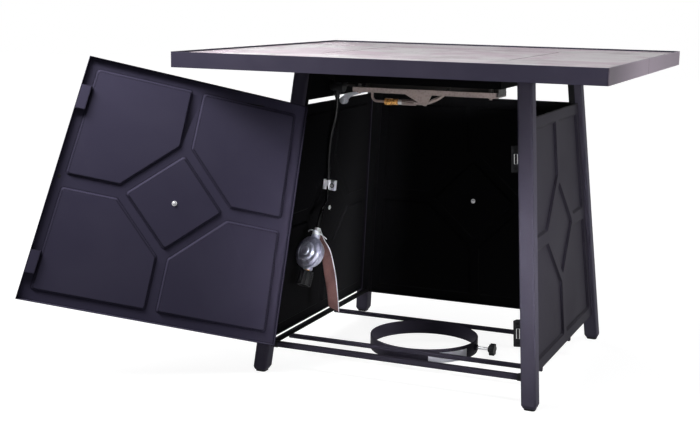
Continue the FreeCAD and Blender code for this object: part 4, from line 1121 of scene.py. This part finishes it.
@dataclass
class Burner(SubAssembly):
    """The burner pan and ring, the bracket below and the gas train in it."""

    edges_mm: Edges = (
        ("burner_pan", 0.8), ("burner_ring", 0.0), ("spark_electrode", 0.2), ("burner_bracket", 0.5),
        ("bracket_bolts", 0.3), ("mixer_tube", 0.0), ("mixer_gusset", 0.3), ("injector", 0.3),
        ("injector_nut", 0.4), ("supply_tube", 0.0),
    )


@dataclass
class Door(SubAssembly):
    """The open pressed door with its strikes, its hinges and the catches on the leg."""

    edges_mm: Edges = (
        ("door_panel", 0.9), ("door_screw", 0.4), ("upper_strike", 0.4), ("lower_strike", 0.4),
        ("upper_catch", 0.8), ("lower_catch", 0.8), ("catch_magnets", 0.0),
        ("hinge_frame_leaves", 0.2), ("hinge_door_leaves", 0.2), ("hinge_pins", 0.2),
    )
    face: Point = (0.5856, -0.8093, 0.0471)
    rivet_place: Point = (-0.54882, -0.47813, 0.38055)
    rivet_mm: Outline = (
        (0.0, -0.4), (3.2, -0.4), (3.2, 0.3), (2.9, 0.5), (2.2, 0.5), (2.0, 0.2), (1.5, 0.2),
        (1.3, 0.8), (0.8, 1.1), (0.0, 1.1),
    )
    rivet_steps: int = 28
    notch_start: Point = (-0.28650, -0.28090, 0.50870)
    notch_end: Point = (-0.25350, -0.25720, 0.50180)
    notch_lens: Outline = ((1.0, -0.2), (1.0, -0.6), (0.0, -1.0), (0.0, 0.0))
    notch_tall: float = 0.0055
    notch_thick: float = 0.0010
    notch_clear: float = 0.0001
    notch_steps: int = 24

    def build(self) -> None:
        """Dresses the door and its fittings, and adds what the frame leaves out."""
        rivet = turned(self.rivet_mm, self.rivet_steps)
        rivet = aimed(rivet, Vector(self.rivet_place), Vector(self.face))
        self.shop.piece("door_rivet", rivet, "dark_casting", "door")
        self.notch()
        super().build()

    def notch(self) -> None:
        """Builds a flush, thin black lens at the edge of a pressed field, as painted shade of the finger
        notch.
        """
        face = Vector(self.face)
        start = Vector(self.notch_start)
        along = Vector(self.notch_end) - start
        upward = face.cross(along).normalized()
        if upward.z < 0.0:
            upward = -upward
        rings = []
        for step in range(self.notch_steps + 1):
            share = step / self.notch_steps
            bulge = math.sin(math.pi * share)
            middle = start + along * share + face * self.notch_clear
            lift = face * (bulge * self.notch_thick)
            rise = upward * (bulge * self.notch_tall)
            rings.append([middle + lift * out + rise * up for out, up in self.notch_lens])
        # A flush black lens as painted shade of the finger notch's recess.
        self.shop.piece("door_notch_shade", swept(rings, capped=False), "black_plastic", "door")


@dataclass
class Magnets(SubAssembly):
    """The dark faces of the two catch magnets, between their thin pole strips."""

    heights: tuple[tuple[str, float], ...] = (("lower", 0.1280), ("upper", 0.4290))
    leg_x: float = 0.2746
    leg_wide: float = 0.0270
    leg_y: float = 0.2657
    set_back: float = 0.01582
    half_tall: float = 0.0084
    outline: Outline = (
        (-0.0097, 0.0), (-0.0097, 0.0011), (-0.0053, 0.0011), (-0.0053, 0.0),
        (-0.0060, -0.0004), (-0.0090, -0.0004),
    )

    def build(self) -> None:
        """Builds both faces along the leaning leg."""
        upward = Vector((-LEAN_X, LEAN_Y, 1.0)).normalized()
        across = Vector((1.0, 0.0, LEAN_X)).normalized()
        inward = upward.cross(across)
        for name, height in self.heights:
            x = self.leg_x - self.leg_wide - LEAN_X * height
            y = self.set_back - self.leg_y + LEAN_Y * height
            middle = Vector((x, y, height))
            rings = []
            for level in (-self.half_tall, self.half_tall):
                foot = middle + upward * level
                rings.append([foot + across * side + inward * depth for side, depth in self.outline])
            self.shop.piece(name + "_magnet_face", swept(rings), "black_plastic", "frame")


@dataclass
class CylinderRing(SubAssembly):
    """The ring for the gas cylinder's foot, its thumb screw and the bare label on its front."""

    edges_mm: Edges = (("tank_ring", 0.5), ("clamp_screw", 0.3), ("clamp_knob", 0.6))
    middle: Span = (-0.0127, -0.0367)
    radius: float = 0.1060
    label_clear: float = 0.0001
    label_sheet: float = 0.0003
    label_arc: Span = (-66.0, -20.0)
    label_low: float = 0.0200
    label_high: float = 0.0402
    label_steps: int = 32

    def label_ring(self, angle: float) -> list[Vector]:
        """The section of the label at an angle round the ring.

        Args:
            angle: The angle in radians.

        Returns:
            The four corners of the section.
        """
        inner = self.radius + self.label_clear
        outer = inner + self.label_sheet
        low, high = self.label_low, self.label_high
        corners = ((inner, low), (outer, low), (outer, high), (inner, high))
        x, y = self.middle
        return [Vector((x + r * math.cos(angle), y + r * math.sin(angle), z)) for r, z in corners]

    def build(self) -> None:
        """Adds the label, curved round the band, and dresses the ring, the screw and its knob."""
        start, end = self.label_arc
        turn = (end - start) / self.label_steps
        angles = [start + turn * step for step in range(self.label_steps + 1)]
        label = swept([self.label_ring(math.radians(angle)) for angle in angles])
        self.shop.piece("ring_label", label, "white_plastic", "frame")
        super().build()


@dataclass
class Controls(SubAssembly):
    """The control plate with the valve, its knob and the igniter, and the clips inside."""

    edges_mm: Edges = (
        ("control_panel", 0.6), ("gas_valve", 0.5), ("valve_stem", 0.2), ("control_knob", 0.8),
        ("igniter_barrel", 0.5), ("igniter_button", 0.8), ("igniter_lead", 0.0),
        ("hose_clip", 0.4), ("tube_clip", 0.8),
    )
    washer_place: Point = (-0.21273, -0.04425, 0.32968)
    washer_face: Point = (0.0, -1.0, 0.0)
    washer_mm: Outline = ((0.0, -0.3), (4.5, -0.3), (4.5, 0.3), (4.1, 0.5), (0.0, 0.5))
    washer_steps: int = 28

    def build(self) -> None:
        """Dresses the plate and its controls, and adds the clip's washer."""
        super().build()
        washer = turned(self.washer_mm, self.washer_steps)
        washer = aimed(washer, Vector(self.washer_place), Vector(self.washer_face))
        self.shop.piece("clip_washer", washer, "black_plastic", "frame")


HOSE_ROUTE: tuple[Point, ...] = (
    (-0.2060, -0.0390, 0.5050),
    (-0.2060, -0.0390, 0.4840),
    (-0.2090, -0.0420, 0.4600),
    (-0.2145, -0.0460, 0.4340),
    (-0.2190, -0.0440, 0.4040),
    (-0.2223, -0.0395, 0.3730),
    (-0.2230, -0.0380, 0.3450),
    (-0.2224, -0.0395, 0.3200),
    (-0.2204, -0.0490, 0.3026),
    (-0.2167, -0.0662, 0.2920),
    (-0.2115, -0.0884, 0.2906),
    (-0.2058, -0.1078, 0.2866),
    (-0.2024, -0.1220, 0.2750),
    (-0.2035, -0.1296, 0.2588),
)


@dataclass
class Regulator(SubAssembly):
    """The die-cast regulator at the end of the hose, with its fittings."""

    edges_mm: Edges = (("hose_ferrule", 0.6), ("inlet_nipple", 0.3), ("coupling_nut", 0.6))
    dome_mm: Outline = (
        (0.0, -14.0), (22.4, -14.0), (26.2, -12.8), (27.4, -10.5), (27.4, -1.2),
        (30.7, -1.0), (31.8, -0.2), (32.0, 1.0), (32.0, 2.8), (31.1, 3.8), (28.8, 4.0),
        (27.9, 4.6), (27.1, 6.4), (25.0, 8.3), (22.2, 9.2), (20.3, 9.2), (19.4, 8.4),
        (18.3, 8.4), (17.7, 9.2), (17.1, 11.0), (15.6, 12.4), (13.2, 13.0), (10.9, 13.0),
        (10.0, 12.3), (9.0, 12.3), (8.4, 13.2), (7.7, 14.6), (6.2, 15.0), (2.6, 15.0),
        (2.3, 14.0), (0.0, 14.0),
    )
    upper_boss_mm: Outline = (
        (7.0, 0.0), (7.0, 30.0), (8.4, 31.0), (8.4, 35.6), (7.4, 37.0), (0.0, 37.0),
    )
    lower_boss_mm: Outline = (
        (8.0, 0.0), (8.0, 26.0), (9.4, 27.0), (9.4, 31.4), (8.4, 33.0), (0.0, 33.0),
    )
    dome_steps: int = 72
    boss_steps: int = 32
    turn: float = -17.0
    to_hose: float = 0.051
    behind: float = 0.006

    def axes(self) -> tuple[Vector, Vector, Vector]:
        """Where the casting lies at the end of the hose.

        Returns:
            The middle of the dome, the way of the gas, and the way that the dome faces.
        """
        top = Vector(HOSE_ROUTE[-1])
        flow = (Vector(HOSE_ROUTE[-2]) - top).normalized()
        dome = flow.cross(Vector(Axis.ACROSS.value)).normalized()
        if dome.y > 0.0:
            dome = -dome
        dome = Quaternion(flow, math.radians(self.turn)) @ dome
        return top - flow * self.to_hose + dome * self.behind, flow, dome

    def build(self) -> None:
        """Builds the casting with its bosses, and dresses its fittings."""
        middle, flow, dome = self.axes()
        line = middle - dome * self.behind
        shape = merged([
            aimed(turned(self.dome_mm, self.dome_steps), middle, dome),
            aimed(turned(self.upper_boss_mm, self.boss_steps), line, flow),
            aimed(turned(self.lower_boss_mm, self.boss_steps), line, -flow),
        ])
        casting = self.shop.piece("regulator", shape, "zinc_casting", "frame")
        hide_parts("regulator_body")
        super().build()


@dataclass
class HangTag(SubAssembly):
    """The bare card tag that hangs behind the regulator."""

    left: Outline = (
        (-0.2075, 0.2560), (-0.2050, 0.2380), (-0.2000, 0.2120),
        (-0.1945, 0.1740), (-0.1865, 0.1320), (-0.1830, 0.1030),
    )
    right: Outline = (
        (-0.2030, 0.2560), (-0.1935, 0.2350), (-0.1805, 0.2140),
        (-0.1700, 0.1740), (-0.1640, 0.1320), (-0.1605, 0.0950),
    )
    depth: float = -0.1206
    sheet: float = 0.0010
    rows: int = 40
    columns: int = 6
    bow: float = 0.0016
    hem_half: float = 0.0009
    hem_past: float = 0.0004
    hem_width: float = 0.0012
    loop_radius: float = 0.0010
    loop: tuple[Point, ...] = (
        (-0.2215, -0.1330, 0.2515), (-0.2175, -0.1400, 0.2560), (-0.2070, -0.1440, 0.2575),
        (-0.1985, -0.1410, 0.2530), (-0.1915, -0.1300, 0.2440), (-0.1885, -0.1215, 0.2370),
    )

    def edge(self, points: Outline, row: int) -> tuple[float, float]:
        """A place on one edge, smoothed through its points.

        Args:
            points: The edge's points from the top down.
            row: The row of the card, from the top down.

        Returns:
            The place across and up.
        """
        place = row / self.rows * (len(points) - 1)
        index = min(int(place), len(points) - 2)
        before = points[max(index - 1, 0)]
        after = points[min(index + 2, len(points) - 1)]
        parts = zip(before, points[index], points[index + 1], after)
        return tuple(smooth_between(values, place - index) for values in parts)

    def build(self) -> None:
        """Builds the bowed card with its hem and its loop."""
        tag = self.shop.piece("tag", self.card(), "tag_card", "frame")
        thick = tag.modifiers.new("thickness", "SOLIDIFY")
        thick.thickness = self.sheet
        thick.offset = 0.0
        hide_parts("hang_tag")
        self.shop.piece("tag_hem", self.hem(), "white_plastic", "frame")
        self.shop.wire("tag_loop", self.loop, self.loop_radius, "white_plastic", "frame")

    def card(self) -> Shape:
        """The sheet of the card, bowed between its edges.

        Returns:
            Its points and faces.
        """
        vertices = []
        for row in range(self.rows + 1):
            left_x, left_z = self.edge(self.left, row)
            right_x, right_z = self.edge(self.right, row)
            for column in range(self.columns + 1):
                across = column / self.columns
                bow = self.bow * math.sin(math.pi * across) * math.sin(math.pi * row / self.rows)
                x = left_x + (right_x - left_x) * across
                z = left_z + (right_z - left_z) * across
                vertices.append(Vector((x, self.depth + bow, z)))
        width = self.columns + 1
        corners = [row * width + column for row in range(self.rows) for column in range(self.columns)]
        return vertices, [(low, low + width, low + width + 1, low + 1) for low in corners]

    def hem(self) -> Shape:
        """The pale folded edge down the right side of the card.

        Returns:
            Its points and faces.
        """
        front, back = self.depth - self.hem_half, self.depth + self.hem_half
        rings = []
        for row in range(self.rows + 1):
            x, z = self.edge(self.right, row)
            out = x + self.hem_past
            inner = out - self.hem_width
            corners = ((out, front), (out, back), (inner, back), (inner, front))
            rings.append([Vector((across, depth, z)) for across, depth in corners])
        return swept(rings)


@dataclass
class GasHose(SubAssembly):
    """The hose from the valve to the regulator."""

    radius: float = 0.004
    length: float = 0.306

    def build(self) -> None:
        hose = self.shop.wire("hose", HOSE_ROUTE, self.radius, "hose_rubber", "frame")
        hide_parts("gas_hose")


@dataclass(frozen=True)
class SoftBox:
    """A square lamp.

    The place and the target are points, the size is the length of its sides, the power is in watts,
    and the spread is how wide its grid lets the light out, in degrees.
    """

    name: str
    place: Point
    size: float
    power: float
    target: Point = (0.0, -0.15, 0.40)
    spread: float = 180.0

    def build(self) -> None:
        """Adds the lamp, out of the camera's sight."""
        data = bpy.data.lights.new(self.name, "AREA")
        data.shape = "SQUARE"
        data.size = self.size
        data.energy = self.power
        data.spread = math.radians(self.spread)
        way = Vector(self.target) - Vector(self.place)
        made = bpy.data.objects.new(self.name, data)
        made.location = self.place
        made.rotation_euler = way.to_track_quat("-Z", "Y").to_euler()
        made.visible_camera = False
        bpy.context.scene.collection.objects.link(made)


@dataclass
class Studio:
    """The floor, the lamps and the camera at the photograph's place."""

    camera_place: Point = (0.76305, -2.26309, 0.70569)
    yaw: float = -0.398957
    pitch: float = 0.182835
    roll: float = 0.016355
    lens: float = 63.376
    sensor: float = 36.0
    half_floor: float = 9.0
    white: Colour = (1.0, 1.0, 1.0)
    ambient: Colour = (0.085, 0.085, 0.090)
    lamps: tuple[SoftBox, ...] = (
        SoftBox("key_box", (-0.75, -0.85, 1.25), 0.4, 8.6),
        SoftBox("door_box", (-0.50, -0.80, 1.05), 0.3, 5.1),
        SoftBox("front_box", (-0.10, -1.10, 1.60), 0.4, 3.0),
        SoftBox("right_grid", (1.60, -1.60, 0.55), 0.4, 0.88, (0.27, 0.0, 0.35), 28.0),
        SoftBox("bay_grid", (1.30, -1.20, 0.40), 0.3, 0.33, (-0.08, -0.13, 0.19), 16.0),
        SoftBox("top_box", (0.90, 0.60, 2.0), 1.0, 10.3),
        SoftBox("rear_box", (-1.10, 1.50, 0.56), 0.5, 9.0, (-0.10, 0.10, 0.35)),
    )

    def build(self) -> None:
        """Sets up the whole studio."""
        bpy.context.scene.view_settings.view_transform = "Standard"
        self.camera()
        self.floor()
        self.world()
        for lamp in self.lamps:
            lamp.build()

    def camera(self) -> None:
        """Adds the camera."""
        forward = Vector((math.sin(self.yaw) * math.cos(self.pitch),
                          math.cos(self.yaw) * math.cos(self.pitch), -math.sin(self.pitch)))
        level = Vector((math.cos(self.yaw), -math.sin(self.yaw), 0.0))
        upward = level.cross(forward)
        right = level * math.cos(self.roll) + upward * math.sin(self.roll)
        above = upward * math.cos(self.roll) - level * math.sin(self.roll)
        data = bpy.data.cameras.new("camera")
        data.lens = self.lens
        data.sensor_width = self.sensor
        data.sensor_fit = "HORIZONTAL"
        data.clip_end = 50.0
        made = bpy.data.objects.new("camera", data)
        turn = Matrix((right, above, -forward)).transposed().to_4x4()
        made.matrix_world = Matrix.Translation(self.camera_place) @ turn
        bpy.context.scene.collection.objects.link(made)
        bpy.context.scene.camera = made

    def floor(self) -> None:
        """Adds the pale floor."""
        half = self.half_floor
        corners = [(-half, -half, 0.0), (half, -half, 0.0), (half, half, 0.0), (-half, half, 0.0)]
        mesh = bpy.data.meshes.new("floor")
        mesh.from_pydata(corners, [], [(0, 1, 2, 3)])
        made = bpy.data.objects.new("floor", mesh)
        made.data.materials.append(PaleFloor().material())
        bpy.context.scene.collection.objects.link(made)

    def world(self) -> None:
        """Adds a world that is white to the camera and dim as a light."""
        net = ShaderNet(bpy.data.worlds.new("studio"), "ShaderNodeOutputWorld")
        white = net.node("ShaderNodeBackground", {}, {"Color": self.white, "Strength": 1.0})
        dim = net.node("ShaderNodeBackground", {}, {"Color": self.ambient, "Strength": 1.0})
        bpy.context.scene.world = net.finished(net.mixed(background_share(net), dim, white))


SUB_ASSEMBLIES = (TableTop, Stand, Panels, Door, Magnets, CylinderRing, Burner, Controls, Regulator,
                  HangTag, GasHose)


def main() -> None:
    """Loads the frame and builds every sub-assembly."""
    logging.basicConfig(level=logging.INFO)
    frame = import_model()
    slots = {part["node"]: part["material_slot"] for part in frame["record"]["subparts"]}
    shop = Workshop(frame["nodes"], slots, Wardrobe())
    Studio().build()
    for kind in SUB_ASSEMBLIES:
        kind(shop).build()
        LOG.info("finished %s", kind.__name__)


if __name__ == "__main__":
    main()
